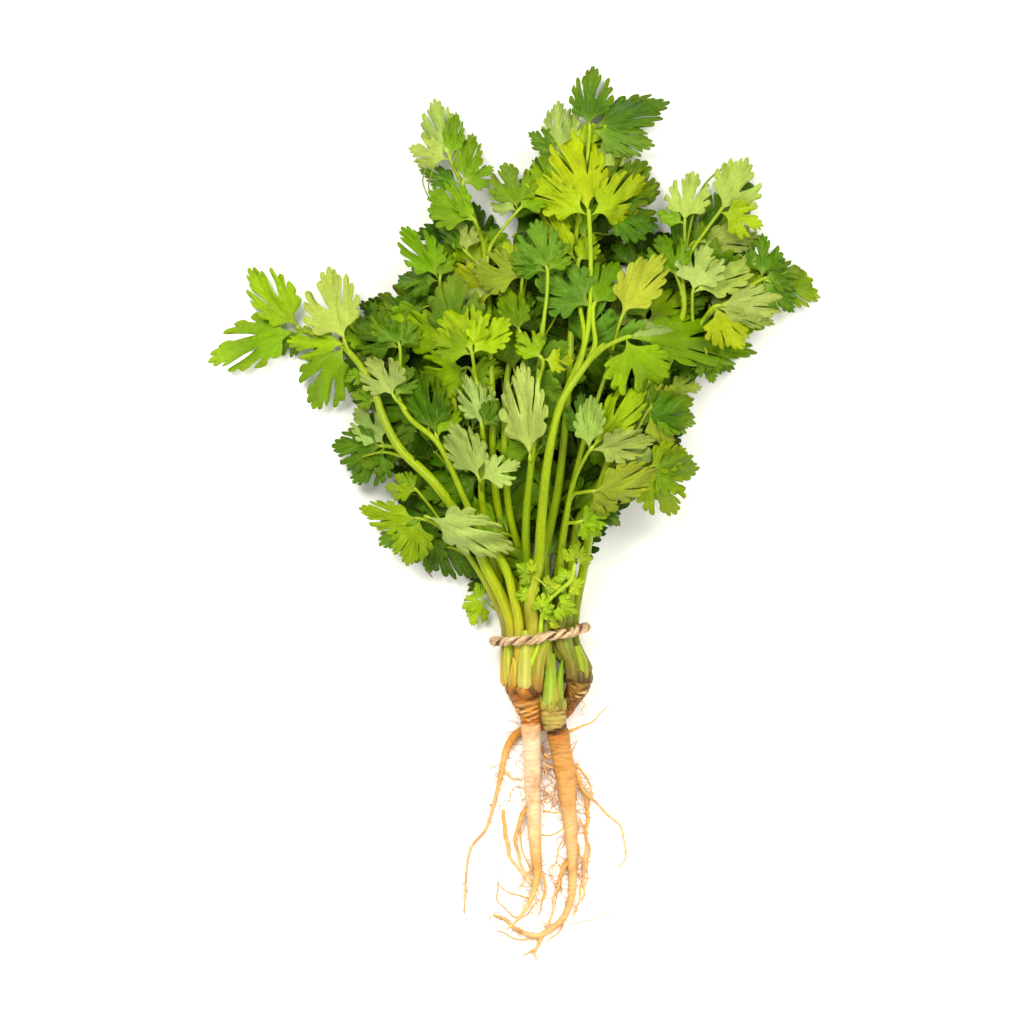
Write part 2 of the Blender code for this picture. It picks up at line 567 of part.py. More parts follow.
def tube_object(name, points, radii, sides, collection, closed=False):
    """A tube along points, as a curve turned into a mesh with its caps welded."""
    curve = bpy.data.curves.new(name, "CURVE")
    curve.dimensions = "3D"
    curve.bevel_depth = MM
    curve.bevel_resolution = (sides - 4) // 2
    curve.use_fill_caps = True
    spline = curve.splines.new("POLY")
    spline.points.add(len(points) - 1)
    spline.use_cyclic_u = closed
    for point, place, radius in zip(spline.points, points, radii):
        point.co = (*(value * MM for value in place), 1.0)
        point.radius = radius
    drawn = bpy.data.objects.new(name + "_line", curve)
    collection.objects.link(drawn)
    bpy.context.view_layer.update()
    graph = bpy.context.evaluated_depsgraph_get()
    mesh = bpy.data.meshes.new_from_object(drawn.evaluated_get(graph))
    mesh.name = name
    tube = bpy.data.objects.new(name, mesh)
    tube.matrix_world = drawn.matrix_world.copy()
    collection.objects.link(tube)
    bpy.data.objects.remove(drawn)
    weld(mesh)
    return tube


def weld(mesh):
    cage = bmesh.new()
    cage.from_mesh(mesh)
    bmesh.ops.remove_doubles(cage, verts=cage.verts, dist=0.01 * MM)
    bmesh.ops.recalc_face_normals(cage, faces=cage.faces)
    cage.to_mesh(mesh)
    cage.free()


def blade_object(name, points, faces, collection):
    """A leaf blade: the open surface, given its thickness by Solidify."""
    mesh = bpy.data.meshes.new(name)
    mesh.from_pydata([point * MM for point in points], [], faces)
    blade = bpy.data.objects.new(name, mesh)
    collection.objects.link(blade)
    thick = blade.modifiers.new("thickness", "SOLIDIFY")
    thick.thickness = BLADE * MM
    thick.offset = 0.0
    return blade


def keep_largest(mesh):
    """Keep a mesh's largest closed skin: sealed hollows are filled, loose scraps dropped."""
    cage = bmesh.new()
    cage.from_mesh(mesh)
    left = set(cage.faces)
    skins = []
    while left:
        skin = [left.pop()]
        for face in skin:
            for edge in face.edges:
                fresh = [other for other in edge.link_faces if other in left]
                left.difference_update(fresh)
                skin.extend(fresh)
        skins.append(skin)
    skins.sort(key=len)
    scraps = [face for skin in skins[:-1] for face in skin]
    bmesh.ops.delete(cage, geom=scraps, context="FACES")
    cage.to_mesh(mesh)
    cage.free()


def join(body, collection):
    """Fuse every object of a collection into the body, and remove them."""
    union = body.modifiers.new("grown_together", "BOOLEAN")
    union.operation = "UNION"
    union.operand_type = "COLLECTION"
    union.collection = collection
    union.solver = "MANIFOLD"
    bpy.context.view_layer.update()
    graph = bpy.context.evaluated_depsgraph_get()
    mesh = bpy.data.meshes.new_from_object(body.evaluated_get(graph))
    body.modifiers.clear()
    body.data = mesh
    for piece in list(collection.objects):
        bpy.data.objects.remove(piece)
    bpy.data.collections.remove(collection)
    keep_largest(mesh)


def repeats_collection(name):
    made = bpy.data.collections.new(name)
    bpy.context.scene.collection.children.link(made)
    return made


# ------------------------------------------------------------------ the pieces
def make_stems(parts):
    """Leafy stems: each stem first, then its leaves where they clear what is in place."""
    middles = {}
    for plant in CROWNS:
        places = [slot_place(stem[1]) for stem in STEMS if stem[0] == plant]
        middles[plant] = tuple(np.mean(places, axis=0))
    guides = [stem_guide(stem, middles[stem[0]]) for stem in STEMS]
    guides = ease_apart(guides, [STEM_RADIUS * stem[3] for stem in STEMS])

    heap_now = Heap()
    bodies = []
    repeats = []
    leaves = []
    for number, (stem, guide) in enumerate(zip(STEMS, guides)):
        name = f"leafy_stem_{number + 1:02d}"
        radii = stem_radii(stem[3], len(guide))
        points = [Vector(tuple(point)) for point in guide]
        bodies.append(tube_object(name, points, radii, 6, parts))
        repeats.append(repeats_collection(name + "_repeats"))
        heap_now.add_tube(name, points, radii)
        for place, leaf in enumerate(stem[5]):
            leaves.append((-leaf[2], number, place, leaf))

    left_out = []
    for _, number, place, leaf in sorted(leaves, key=lambda entry: entry[:3]):
        name = f"leafy_stem_{number + 1:02d}"
        draw = random.Random(number * 100 + place)
        thin = STEM_RADIUS * STEMS[number][3] * 0.36
        for trial in range(TRIALS):
            pose = Pose(leaf, leaf[2], trial, draw)
            points, faces = blade_surface(pose)
            stalk = stalk_line(guides[number], pose)
            if heap_now.clear(name, points, faces, stalk, thin):
                break
        else:
            left_out.append(f"{name} leaf {place + 1}")
            continue
        blade_object(f"{name}_leaf_{place}", points, faces, repeats[number])
        tube_object(f"{name}_stalk_{place}", stalk,
                    [thin * 1.15] + [thin] * STALK_BENDS + [0.6], 4, repeats[number])
        heap_now.add_blade(name, points, faces)
        heap_now.add_tube(name, stalk, [thin, thin])
    if left_out:
        print("left out:", ", ".join(left_out))

    for number, (body, collection) in enumerate(zip(bodies, repeats)):
        join(body, collection)
        green = COLOURS["pale_leaf"] if STEMS[number][2] > PALE_ABOVE else COLOURS["leaf"]
        body.data.materials.clear()
        body.data.materials.append(material(body.name, green, 0.55))
    return bodies


def make_roots(parts):
    roots = []
    for name, (colour, tap, laterals) in ROOTS.items():
        body = tube_object(name, [row[:3] for row in tap], [row[3] for row in tap], 8, parts)
        top, middle = tap[0][1:3]
        for vertex in body.data.vertices:
            ahead = smooth_step((top - CROWN_LENGTH) * MM, top * MM, vertex.co.y)
            stretch = 1 + (TALL_CROWN - 1) * ahead
            vertex.co.z = (middle + (vertex.co.z / MM - middle) * stretch) * MM
        collection = repeats_collection(name + "_repeats")
        for index, rows in enumerate(laterals):
            tube_object(f"{name}_side_{index}", [row[:3] for row in rows],
                        [row[3] for row in rows], 4, collection)
        join(body, collection)
        body.data.shade_smooth()
        body.data.set_sharp_from_angle(angle=math.radians(50))
        body.data.materials.clear()
        body.data.materials.append(material(name, colour, 0.7))
        roots.append(body)
    return roots


def cord_path():
    """The tie's path: a string pulled round the stems, leaning a little along Y."""
    rings = []
    for stem in STEMS:
        x, z = slot_place(stem[1])
        rings.append((x, z, STEM_RADIUS * max(1.0, stem[3])))
    points = []
    for step in range(CORD_TURNS):
        angle = 2 * math.pi * step / CORD_TURNS
        nx, nz = math.cos(angle), math.sin(angle)
        x, z, radius = max(rings, key=lambda ring: ring[0] * nx + ring[1] * nz + ring[2])
        reach = radius + GAP + CORD_RADIUS
        px, pz = x + nx * reach, z + nz * reach
        points.append((px, cord_y(px), pz))
    return points


def make_tie(parts):
    path = cord_path()
    tie = tube_object("tie_cord", path, [CORD_RADIUS] * len(path), 8, parts, closed=True)
    for vertex in tie.data.vertices:
        vertex.co.z = max(vertex.co.z, 0.0)
    tie.data.shade_smooth()
    tie.data.set_sharp_from_angle(angle=math.radians(50))
    tie.data.materials.clear()
    tie.data.materials.append(material("tie_cord", COLOURS["cord"], 0.85))
    return tie


def main():
    for obj in list(bpy.data.objects):
        bpy.data.objects.remove(obj)
    parts = bpy.data.collections.new(NAME)
    bpy.context.scene.collection.children.link(parts)
    pieces = make_stems(parts) + make_roots(parts) + [make_tie(parts)]

    corner = np.array([vertex.co for piece in pieces for vertex in piece.data.vertices])
    low, high = corner.min(axis=0), corner.max(axis=0)
    base = bpy.data.objects.new(NAME, None)
    base.location = (-(low[0] + high[0]) / 2, -(low[1] + high[1]) / 2, -low[2])
    parts.objects.link(base)
    for piece in pieces:
        piece.parent = base
    size = (high - low) / MM
    print("size in mm:", [round(float(side), 1) for side in size],
          "moved by", [round(value / MM, 3) for value in base.location])


main()
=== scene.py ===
# %% [markdown]
# # A tied bunch of coriander
# Three young coriander plants were pulled up with their roots, tied with one turn of straw
# cord and laid on a white table. The solids of the part come in first: they give the place
# and the size of every stem, leaf and root. Each of them is then covered by a finer piece,
# because a real coriander leaf is thin, toothed and veined, and plain solids can't be.

# %% Bring in the solids
import json
import math
import random

import bpy
import numpy as np
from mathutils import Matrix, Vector
from mathutils.geometry import delaunay_2d_cdt
from mathutils.bvhtree import BVHTree
from mathutils.kdtree import KDTree

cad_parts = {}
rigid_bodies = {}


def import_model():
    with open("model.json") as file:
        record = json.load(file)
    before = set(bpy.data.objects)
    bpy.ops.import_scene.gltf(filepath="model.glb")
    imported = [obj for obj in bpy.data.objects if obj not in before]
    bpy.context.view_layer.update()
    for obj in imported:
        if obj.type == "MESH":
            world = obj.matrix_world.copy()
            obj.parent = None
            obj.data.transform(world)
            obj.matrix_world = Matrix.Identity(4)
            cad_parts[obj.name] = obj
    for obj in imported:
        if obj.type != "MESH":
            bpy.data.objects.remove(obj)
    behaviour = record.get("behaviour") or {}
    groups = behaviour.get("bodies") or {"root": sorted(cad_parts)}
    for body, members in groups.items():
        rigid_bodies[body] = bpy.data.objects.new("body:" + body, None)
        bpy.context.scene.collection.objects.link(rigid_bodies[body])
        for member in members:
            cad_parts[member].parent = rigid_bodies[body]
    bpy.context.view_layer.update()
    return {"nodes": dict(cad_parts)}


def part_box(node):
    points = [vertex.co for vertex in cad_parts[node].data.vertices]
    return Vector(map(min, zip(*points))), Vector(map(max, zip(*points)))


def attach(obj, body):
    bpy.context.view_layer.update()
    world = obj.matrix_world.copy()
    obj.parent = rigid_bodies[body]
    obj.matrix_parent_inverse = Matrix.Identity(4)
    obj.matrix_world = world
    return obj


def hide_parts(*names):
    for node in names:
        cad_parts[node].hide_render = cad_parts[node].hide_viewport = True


for leftover in list(bpy.data.objects):
    bpy.data.objects.remove(leftover)
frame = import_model()

# %% [markdown]
# ## Where things are
# The bunch is easiest to shape in millimetres, measured from the point on the table under
# the cord, with the roots towards -Y and the leaves towards +Y. The table below repeats the
# numbers that the solids were grown from, so every fine leaf lands on its solid. The cord
# and one stem's foot tell how far that point lies from the frame's own origin.

# %% From the bunch's own millimetres to the frame
MM = 0.001
tie_low, tie_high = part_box("tie_cord")
FOOT_OF_16 = -26.0               # where the middle plant's stems leave their crown
SHIFT = np.array([(tie_low[0] + tie_high[0]) / 2,
                  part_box("leafy_stem_16")[0][1] - FOOT_OF_16 * MM, 0.0])
print("the cord stands at", [round(float(value) / MM, 2) for value in SHIFT], "mm")


def to_frame(points):
    """Millimetres round the cord to metres in the frame."""
    return np.asarray(points, float) * MM + SHIFT


# %% The heap of leaves
HEAP_EDGE, HEAP_RISE = 8.0, 60.0
HEAP_MIDDLE, HEAP_REACH = (3.0, 98.0), (66.0, 74.0)


def heap(x, y):
    """Height of the heap's top surface over a place on the table."""
    across = (x - HEAP_MIDDLE[0]) / HEAP_REACH[0]
    along = (y - HEAP_MIDDLE[1]) / HEAP_REACH[1]
    return HEAP_EDGE + HEAP_RISE * np.exp(-across * across - along * along)


print("the heap's crown is", HEAP_EDGE + HEAP_RISE, "mm high")

# %% Every stem, its route and its leaves
# Each leafy stem: its plant, its slot in the tie (row from the table up, place in the
# row), how high it runs in the heap (1 is the top surface), its thickness, the route
# seen from above, and its leaves. A leaf is (x, y, height in the heap, leaflets), and a
# leaflet is (heading in degrees, length) or (heading, length, width).
STEMS = (
    ("left", (3, 0), 0.90, 1.12,
     ((-14, 16), (-20, 29), (-27, 42), (-42, 61), (-56, 75), (-63, 88), (-67, 100),
      (-75, 112), (-85, 120), (-96, 123)),
     ((-96, 123, 0.90, ((193, 39, 20), (140, 32, 20), (228, 15))),
      (-78, 117, 1.00, ((108, 31, 24), (180, 23, 15), (237, 28, 22))),
      (-62, 76, 0.72, ((132, 19), (176, 21), (235, 19))),
      (-65, 94, 0.75, ((172, 11),)),
      (-70, 106, 0.85, ((207, 9),)))),
    ("left", (4, 0), 0.86, 0.85,
     ((-10, 16), (-15, 29), (-24, 43), (-29, 53), (-40, 76), (-52, 87), (-57, 97),
      (-56, 108)),
     ((-56, 115, 0.92, ((152, 20), (103, 19), (60, 14))),
      (-58, 95, 0.97, ((117, 19), (66, 14))),
      (-41, 79, 0.85, ((110, 29, 17), (72, 17))))),
    ("left", (3, 1), 0.80, 0.9,
     ((-9, 16), (-17, 30), (-24, 45), (-23.5, 58), (-22.5, 76), (-24, 96), (-27, 108)),
     ((-27, 112, 1.04, ((156, 18), (103, 23), (50, 20))),
      (-28, 108, 0.96, ((200, 21), (243, 16), (-12, 16))),
      (-24, 62, 1.0, ((110, 25, 17), (32, 17))),
      (-23, 83, 0.98, ((105, 22, 13), (58, 13))))),
    ("left", (2, 2), 0.74, 0.9,
     ((-4, 16), (-9, 30), (-14, 50), (-15, 77), (-13, 104), (-9, 122), (-7, 136)),
     ((-7, 143, 1.0, ((172, 20), (120, 16), (75, 14))),
      (-17, 137, 0.95, ((181, 24), (150, 21))),
      (-8, 120, 1.0, ((101, 20, 13),)))),
    ("left", (4, 1), 0.97, 1.2,
     ((-1.5, 16), (-0.5, 30), (0, 46), (3, 70), (8, 92), (18, 108), (26, 117)),
     ((34, 119, 1.04, ((12, 27, 15), (-3, 52, 21), (-64, 25, 26))),
      (19.6, 167.6, 1.12, ((143, 29, 17), (98, 37, 22), (32, 27, 18))),
      (21, 131, 0.98, ((148, 25), (66, 21))),
      (15, 148, 0.98, ((118, 33, 12), (60, 14))))),
    ("right", (3, 3), 0.78, 0.8,
     ((8, 16), (9, 32), (12, 52), (17, 76), (24, 98), (30, 116)),
     ((32, 126, 1.03, ((66, 31, 19),)),
      (37, 110, 0.72, ((-20, 20), (35, 18))))),
    ("middle", (4, 2), 0.68, 0.95,
     ((3, 16), (5, 32), (8, 58), (10, 84), (12, 112), (13, 140), (15, 165), (19, 190)),
     ((20, 203, 1.0, ((94, 25, 19), (27, 33, 17), (-14, 26, 15))),
      (25, 171, 0.85, ((58, 26), (22, 25), (-10, 23))),
      (24, 186, 0.98, ((64, 18),)),
      (8, 193, 0.98, ((97, 21, 14), (143, 15))))),
    ("right", (4, 3), 0.90, 0.95,
     ((7, 16), (8.5, 32), (11, 50), (13, 62)),
     ((19.6, 74, 1.04, ((97, 21, 13), (48, 34, 17), (10, 26, 13))),
      (20, 57, 0.92, ((12, 29, 17), (-30, 14))),
      (14, 47, 0.82, ((26, 14), (-32, 11))))),
    ("right", (3, 4), 0.80, 0.85,
     ((10.5, 16), (12, 32), (17, 47), (27, 60), (36, 66)),
     ((43, 67, 0.95, ((30, 17), (-8, 20), (-60, 21))),
      (44, 89, 0.97, ((38, 15), (-8, 20), (-50, 17))),
      (30, 66, 0.9, ((18, 18),)))),
    ("right", (2, 5), 0.84, 0.9,
     ((13.5, 16), (15, 34), (21, 56), (32, 82), (46, 107), (57, 128), (57, 144), (59, 156)),
     ((58, 165, 1.05, ((86, 21, 17), (150, 12))),
      (72, 170, 1.05, ((56, 24, 21), (-8, 18))),
      (62, 158, 0.95, ((3, 27, 14),)),
      (55, 143, 1.0, ((106, 19),)))),
    ("right", (2, 4), 0.76, 0.9,
     ((9, 16), (13, 36), (25, 60), (40, 88), (54, 113), (68, 129), (80, 138)),
     ((89, 143, 0.95, ((88, 18), (18, 17), (-8, 24, 17), (-48, 18))),
      (70, 132, 1.02, ((12, 31, 16), (-16, 25, 10), (-62, 20))),
      (61, 137, 1.05, ((75, 21), (33, 29, 18))),
      (66, 115, 0.85, ((-75, 14),)),
      (49, 98, 0.9, ((15, 15),)))),
    ("left", (2, 1), 0.72, 0.85,
     ((-7, 16), (-12, 34), (-17, 62), (-19, 92), (-20, 122), (-22, 152), (-26, 166),
      (-31, 181), (-35, 189)),
     ((-36, 191, 1.0, ((163, 17), (105, 25, 16), (78, 19, 9))),
      (-31, 181, 0.9, ((166, 18, 10), (76, 21, 12), (35, 14))),
      (-26, 166, 0.95, ((150, 22), (128, 14, 7))),
      (-9, 170, 1.0, ((150, 14), (99, 20), (45, 16))),
      (-29, 153, 1.0, ((96, 14), (135, 17, 7))))),
    ("left", (1, 1), 0.70, 0.85,
     ((-14, 16), (-19, 32), (-27, 56), (-33, 84), (-36, 110), (-39, 134)),
     ((-40, 142, 1.0, ((120, 26, 15), (176, 17), (85, 14))),
      (-48, 127, 0.7, ((150, 20), (105, 18), (200, 17))))),
    ("left", (2, 0), 0.95, 0.8,
     ((-17, 14), (-24, 26), (-33, 38), (-41, 46)),
     ((-48, 47, 1.05, ((178, 24, 14), (216, 19), (256, 19))),
      (-46, 48, 1.32, ((-19, 37, 17),)),
      (-45, 43, 0.8, ((-50, 27), (-88, 18))),
      (-49, 58, 0.9, ((172, 13), (140, 11))))),
    ("left", (1, 0), 0.70, 0.6,
     ((-14, 12),),
     ((-21, 13, 0.8, ((196, 10), (120, 8), (238, 12))),)),
    ("middle", (3, 2), 0.92, 0.95,
     ((-3, 16), (-5, 32), (-5, 48), (-3, 74), (-1, 100), (1, 126)),
     ((3, 145, 0.97, ((100, 22), (150, 17), (55, 15))),
      (1, 110, 1.03, ((132, 15), (-2, 12))),
      (-4, 70, 0.98, ((93, 38, 20),)))),
    # stems whose leaves lie inside the heap and under it
    ("left", (0, 0), 0.30, 0.9,
     ((-13, 20), (-24, 40), (-38, 62), (-50, 86), (-57, 102)),
     ((-62, 112, 0.35, ((150, 24), (100, 18), (200, 22))),
      (-52, 90, 0.3, ((170, 24), (120, 20), (222, 20))),
      (-34, 58, 0.3, ((165, 22), (215, 22), (120, 18))))),
    ("left", (0, 1), 0.45, 0.9,
     ((-7, 18), (-13, 42), (-23, 74), (-30, 102), (-35, 122)),
     ((-38, 132, 0.5, ((140, 22), (95, 22), (185, 22))),
      (-30, 104, 0.45, ((145, 22), (90, 20), (200, 20))))),
    ("middle", (1, 2), 0.12, 0.9,
     ((-4, 20), (-12, 46), (-20, 78), (-24, 110), (-25, 138)),
     ((-26, 150, 0.2, ((140, 24), (90, 24), (190, 20))),
      (-22, 84, 0.12, ((150, 24), (200, 22), (100, 20))),
      (-24, 120, 0.15, ((175, 24), (120, 22), (60, 18))))),
    ("middle", (2, 3), 0.35, 0.9,
     ((1, 20), (0, 50), (-1, 84), (-1, 120), (0, 146), (2, 160)),
     ((2, 168, 0.6, ((140, 22), (92, 24), (45, 24))),
      (-2, 128, 0.5, ((140, 20), (92, 20), (40, 20))),
      (0, 84, 0.45, ((130, 20), (60, 20))))),
    ("middle", (0, 2), 0.10, 0.9,
     ((2, 22), (3, 52), (5, 90), (6, 128), (8, 156)),
     ((10, 166, 0.22, ((125, 24), (80, 26), (35, 24))),
      (4, 100, 0.10, ((120, 24), (60, 24), (0, 22))))),
    ("right", (1, 3), 0.42, 0.9,
     ((7, 20), (12, 46), (22, 78), (32, 106), (37, 124)),
     ((42, 134, 0.55, ((100, 20), (50, 24), (5, 22))),
      (28, 92, 0.5, ((80, 20), (20, 20), (-30, 20))))),
    ("right", (1, 4), 0.28, 0.9,
     ((11, 20), (14, 38), (26, 62), (42, 90), (53, 108)),
     ((60, 116, 0.4, ((70, 22), (20, 22), (-30, 20))),
      (44, 88, 0.3, ((50, 20), (0, 18), (-50, 18))),
      (22, 54, 0.35, ((10, 16), (-40, 14))))),
    ("right", (0, 3), 0.10, 0.9,
     ((9, 20), (13, 44), (22, 78), (31, 110), (36, 134)),
     ((38, 146, 0.2, ((100, 20), (45, 24), (-5, 22))),
      (24, 84, 0.10, ((40, 24), (-10, 24), (-60, 20))),
      (34, 122, 0.15, ((10, 24), (-35, 22), (60, 18))))),
)
print("stems in the table:", len(STEMS))

# %% [markdown]
# ## Stems that share the tie
# Inside the cord the stems stand in rows like pencils in a fist. Above it they fan out, and
# where two would run through each other they are eased apart. A guide is a stem's few
# corner points; a smooth line is drawn through them later.

# %% The tie and the crowns
CORD_RADIUS, STEM_RADIUS, GAP = 1.9, 2.3, 0.35
ROW_STEP, SLOT_STEP = 4.2, 5.6
ROWS = (4, 5, 6, 5, 4)
FLAT_UNDER_TIE = 0.7
LOWEST_ROW = 2 * CORD_RADIUS + GAP + STEM_RADIUS - FLAT_UNDER_TIE
HELD_BELOW, HELD_ABOVE = 4.0, 6.5
CROWNS = {
    "left": ((-6.6, -19.6, 14.2), (1.15, 0.66)),
    "middle": ((4.9, -26.0, 13.2), (1.1, 0.58)),
    "right": ((15.2, -14.4, 13.0), (0.85, 0.58)),
}
FOOT_STRAIGHT = 1.2
HELD_POINTS = 4                  # of a guide's corners, the ones at the crown and the tie
RISE_FROM, RISEN_AT = 8.0, 62.0  # where along the bunch the stems climb into the heap


def slot_place(slot):
    """Where a slot stands inside the tie, as (x, z)."""
    row, place = slot
    return ((place - (ROWS[row] - 1) / 2) * SLOT_STEP, LOWEST_ROW + row * ROW_STEP)


def cord_y(x):
    """Where the cord crosses a place in the bundle: it slants and curls forward."""
    return -1.0 + 0.15 * x + 0.004 * x * x


print("rows of stems in the tie:", ROWS, "from", round(LOWEST_ROW, 2), "mm up")

# %% Guides of the stems
def smooth_step(low, high, value):
    share = np.clip((value - low) / (high - low), 0.0, 1.0)
    return share * share * (3 - 2 * share)


def stem_guide(stem, group_middle):
    """Corner points of a stem from its crown to its last leaf, before it is eased."""
    plant, slot, level, _, route, _ = stem
    x, z = slot_place(slot)
    (cx, cy, cz), (across, up) = CROWNS[plant]
    foot_x, foot_z = cx + (x - group_middle[0]) * across, cz + (z - group_middle[1]) * up
    held = cord_y(x)
    points = [(foot_x, cy, foot_z), (foot_x, cy + FOOT_STRAIGHT, foot_z),
              (x, held - HELD_BELOW, z), (x, held + HELD_ABOVE, z)]
    for px, py in route:
        lift = smooth_step(RISE_FROM, RISEN_AT, py)
        points.append((px, py, z + (level * heap(px, py) - z) * lift))
    return np.array(points)


middles = {plant: tuple(np.mean([slot_place(stem[1]) for stem in STEMS
                                 if stem[0] == plant], axis=0)) for plant in CROWNS}
guides = [stem_guide(stem, middles[stem[0]]) for stem in STEMS]
print("corners in the guides:", sum(len(guide) for guide in guides))

# %% Ease them apart
def samples_along(guide, spacing=2.5):
    """Rows that turn a guide's corners into even samples along it."""
    rows = []
    for index in range(len(guide) - 1):
        steps = max(2, int(np.linalg.norm(guide[index + 1] - guide[index]) / spacing))
        for step in range(steps):
            row = np.zeros(len(guide))
            row[index], row[index + 1] = 1 - step / steps, step / steps
            rows.append(row)
    last = np.zeros(len(guide))
    last[-1] = 1.0
    return np.array(rows + [last])


def ease_apart(guides, radii, rounds=90, space=1.5, share=0.25):
    """Push stems that run too close apart, keeping what the crown and the tie hold."""
    rows = [samples_along(guide) for guide in guides]
    for _ in range(rounds):
        samples = [row @ guide for row, guide in zip(rows, guides)]
        pushes = [np.zeros_like(sample) for sample in samples]
        for one in range(len(guides)):
            for other in range(one + 1, len(guides)):
                away = samples[one][:, None, :] - samples[other][None, :, :]
                far = np.linalg.norm(away, axis=2)
                short = np.clip(radii[one] + radii[other] + space - far, 0, None)
                if not short.any():
                    continue
                push = away / np.maximum(far, 1e-6)[:, :, None] * short[:, :, None]
                pushes[one] += push.sum(axis=1) * share
                pushes[other] -= push.sum(axis=0) * share
        for guide, row, push in zip(guides, rows, pushes):
            move = row.T @ push / row.sum(axis=0)[:, None]
            move[:HELD_POINTS] = 0.0
            guide += np.clip(move, -1.0, 1.0)
            guide[HELD_POINTS:, 2] = np.maximum(guide[HELD_POINTS:, 2], STEM_RADIUS + 0.5)
    return guides


GUIDES = ease_apart(guides, [STEM_RADIUS * stem[3] for stem in STEMS])
print("stems:", len(GUIDES), "longest reaches", round(max(g[-1][1] for g in GUIDES)), "mm up")

# %% [markdown]
# ## Which way each leaf lies
# A leaf was tried in a few slightly different poses until it cleared its neighbours. The
# same poses are drawn again here from the same seeds, and the one whose ribs lie nearest
# to the solid's own corners is the one that was used.

# %% The leaflets of a leaf in order
USUAL_WIDTH = 0.90               # of a leaflet, as a share of its length


def leaf_order(leaflets):
    """Leaflets in order round the leaf: (place in the table, heading, length, width)."""
    order = sorted(range(len(leaflets)), key=lambda index: leaflets[index][0] % 360)
    headings = [leaflets[index][0] for index in order]
    gaps = [(headings[index] - headings[index - 1]) % 360 for index in range(len(order))]
    first = gaps.index(max(gaps))
    around = []
    for index in order[first:] + order[:first]:
        heading, length = leaflets[index][:2]
        width = leaflets[index][2] if len(leaflets[index]) > 2 else length * USUAL_WIDTH
        around.append((index, heading, length, width))
    return around


print("leaflets of the first leaf, in order round it:", leaf_order(STEMS[0][5][0][3]))

# %% A leaf's pose
BLADE_LOW, NODE_LOW = 0.75, 1.6
TRIALS = 60
LIFT_STEP = 2.2
MOST_TURN, MOST_SLOPE, MOST_SHIFT = 10, 0.35, 3
RIB_AT = 0.48                    # where along a leaflet its solid bends


def turned(along, across, heading):
    """Steps in x and y that lie along and across a heading in degrees."""
    angle = math.radians(heading)
    return (along * math.cos(angle) - across * math.sin(angle),
            along * math.sin(angle) + across * math.cos(angle))


def any_phase(draw):
    return draw.uniform(0, 6.28)


def leaflet_lift(length, along, across, phase):
    """Height of a leaflet's surface over its stalk: folded along the rib and drooping."""
    share = along / length
    fold = 0.24 * (np.sqrt(across * across + 0.6) - 0.77)
    wave = 0.035 * length * share * np.sin(phase + 5.0 * across / length)
    return fold - 0.16 * length * share * share + wave


class Pose:
    """How one leaf sits: its place, its tilt and the phases of its waves."""

    def __init__(self, leaf, trial, draw):
        lift = (trial + 1) // 2 * (LIFT_STEP if trial % 2 else -LIFT_STEP)
        spread = min(1.0, 0.25 + trial * 0.03)

        def by(most):
            return draw.uniform(-most, most) * spread

        self.leaf, self.level = leaf, leaf[2]
        self.turn = by(MOST_TURN) * (trial > 3)
        self.size = 1.0 - 0.004 * trial
        self.slope = (by(MOST_SLOPE), by(MOST_SLOPE))
        x = leaf[0] + by(MOST_SHIFT) * (trial > 7)
        y = leaf[1] + by(MOST_SHIFT) * (trial > 7)
        self.node = np.array((x, y, max(NODE_LOW, self.level * heap(x, y) + lift * 0.5)))
        self.phase = [any_phase(draw) for _ in leaf[3]]

    def place(self, heading, along, across, length, phase, lift=0.0):
        """Points of a leaflet's surface, from their places along and across the rib."""
        dx, dy = turned(along, across, heading + self.turn)
        x, y, z = self.node
        lean = 0.85 * self.level * (heap(x + dx, y + dy) - heap(x, y))
        height = z + lean + self.slope[0] * dx + self.slope[1] * dy
        height = height + leaflet_lift(length, along, across, phase)
        height = np.maximum(BLADE_LOW, height) + lift
        return np.stack([x + dx, y + dy, height], axis=-1)


def ribs(pose):
    """Where the ribs of a pose bend, which is where its solid has corners."""
    found = [pose.node]
    for place, (_, heading, length, _) in enumerate(leaf_order(pose.leaf[3])):
        length *= pose.size
        found.append(pose.place(heading, np.float64(length * RIB_AT), np.float64(0.0),
                                length, pose.phase[place]))
    return found


print("poses to try for each leaf:", TRIALS)

# %% Match every leaf to its solid
def stem_node(number):
    """The solid that stands for a stem of the table, which counts from 0."""
    return f"leafy_stem_{number + 1:02d}"


def corners_of(node):
    mesh = frame["nodes"][node].data
    tree = KDTree(len(mesh.vertices))
    for vertex in mesh.vertices:
        tree.insert(vertex.co, vertex.index)
    tree.balance()
    return tree


def find_pose(tree, number, place, leaf):
    """The pose whose ribs lie nearest to the solid's corners, and how far off it is."""
    draw = random.Random(number * 100 + place)
    best = (1e9, None)
    for trial in range(TRIALS):
        pose = Pose(leaf, trial, draw)
        off = [tree.find(Vector(to_frame(point)))[2] / MM for point in ribs(pose)]
        best = min(best, (sum(off) / len(off), trial, pose), key=lambda entry: entry[0])
    return best


POSES = {}
worst = 0.0
for number, stem in enumerate(STEMS):
    corner_tree = corners_of(stem_node(number))
    for place, leaf in enumerate(stem[5]):
        off, _, POSES[number, place] = find_pose(corner_tree, number, place, leaf)
        worst = max(worst, off)
print("leaves:", len(POSES), "worst distance from a solid's corners:", round(worst, 2), "mm")

# %% [markdown]
# ## Skins and sweeps
# Two kinds of surface serve for everything here. A sweep draws ring after ring along a
# line, for stems, roots and cord. A leaflet is a flat pattern of small triangles, bent and
# given a back and a thin edge. Both go into one skin per piece, which also carries a colour
# for every point, so that a stem can be pale at its foot and green at its top.

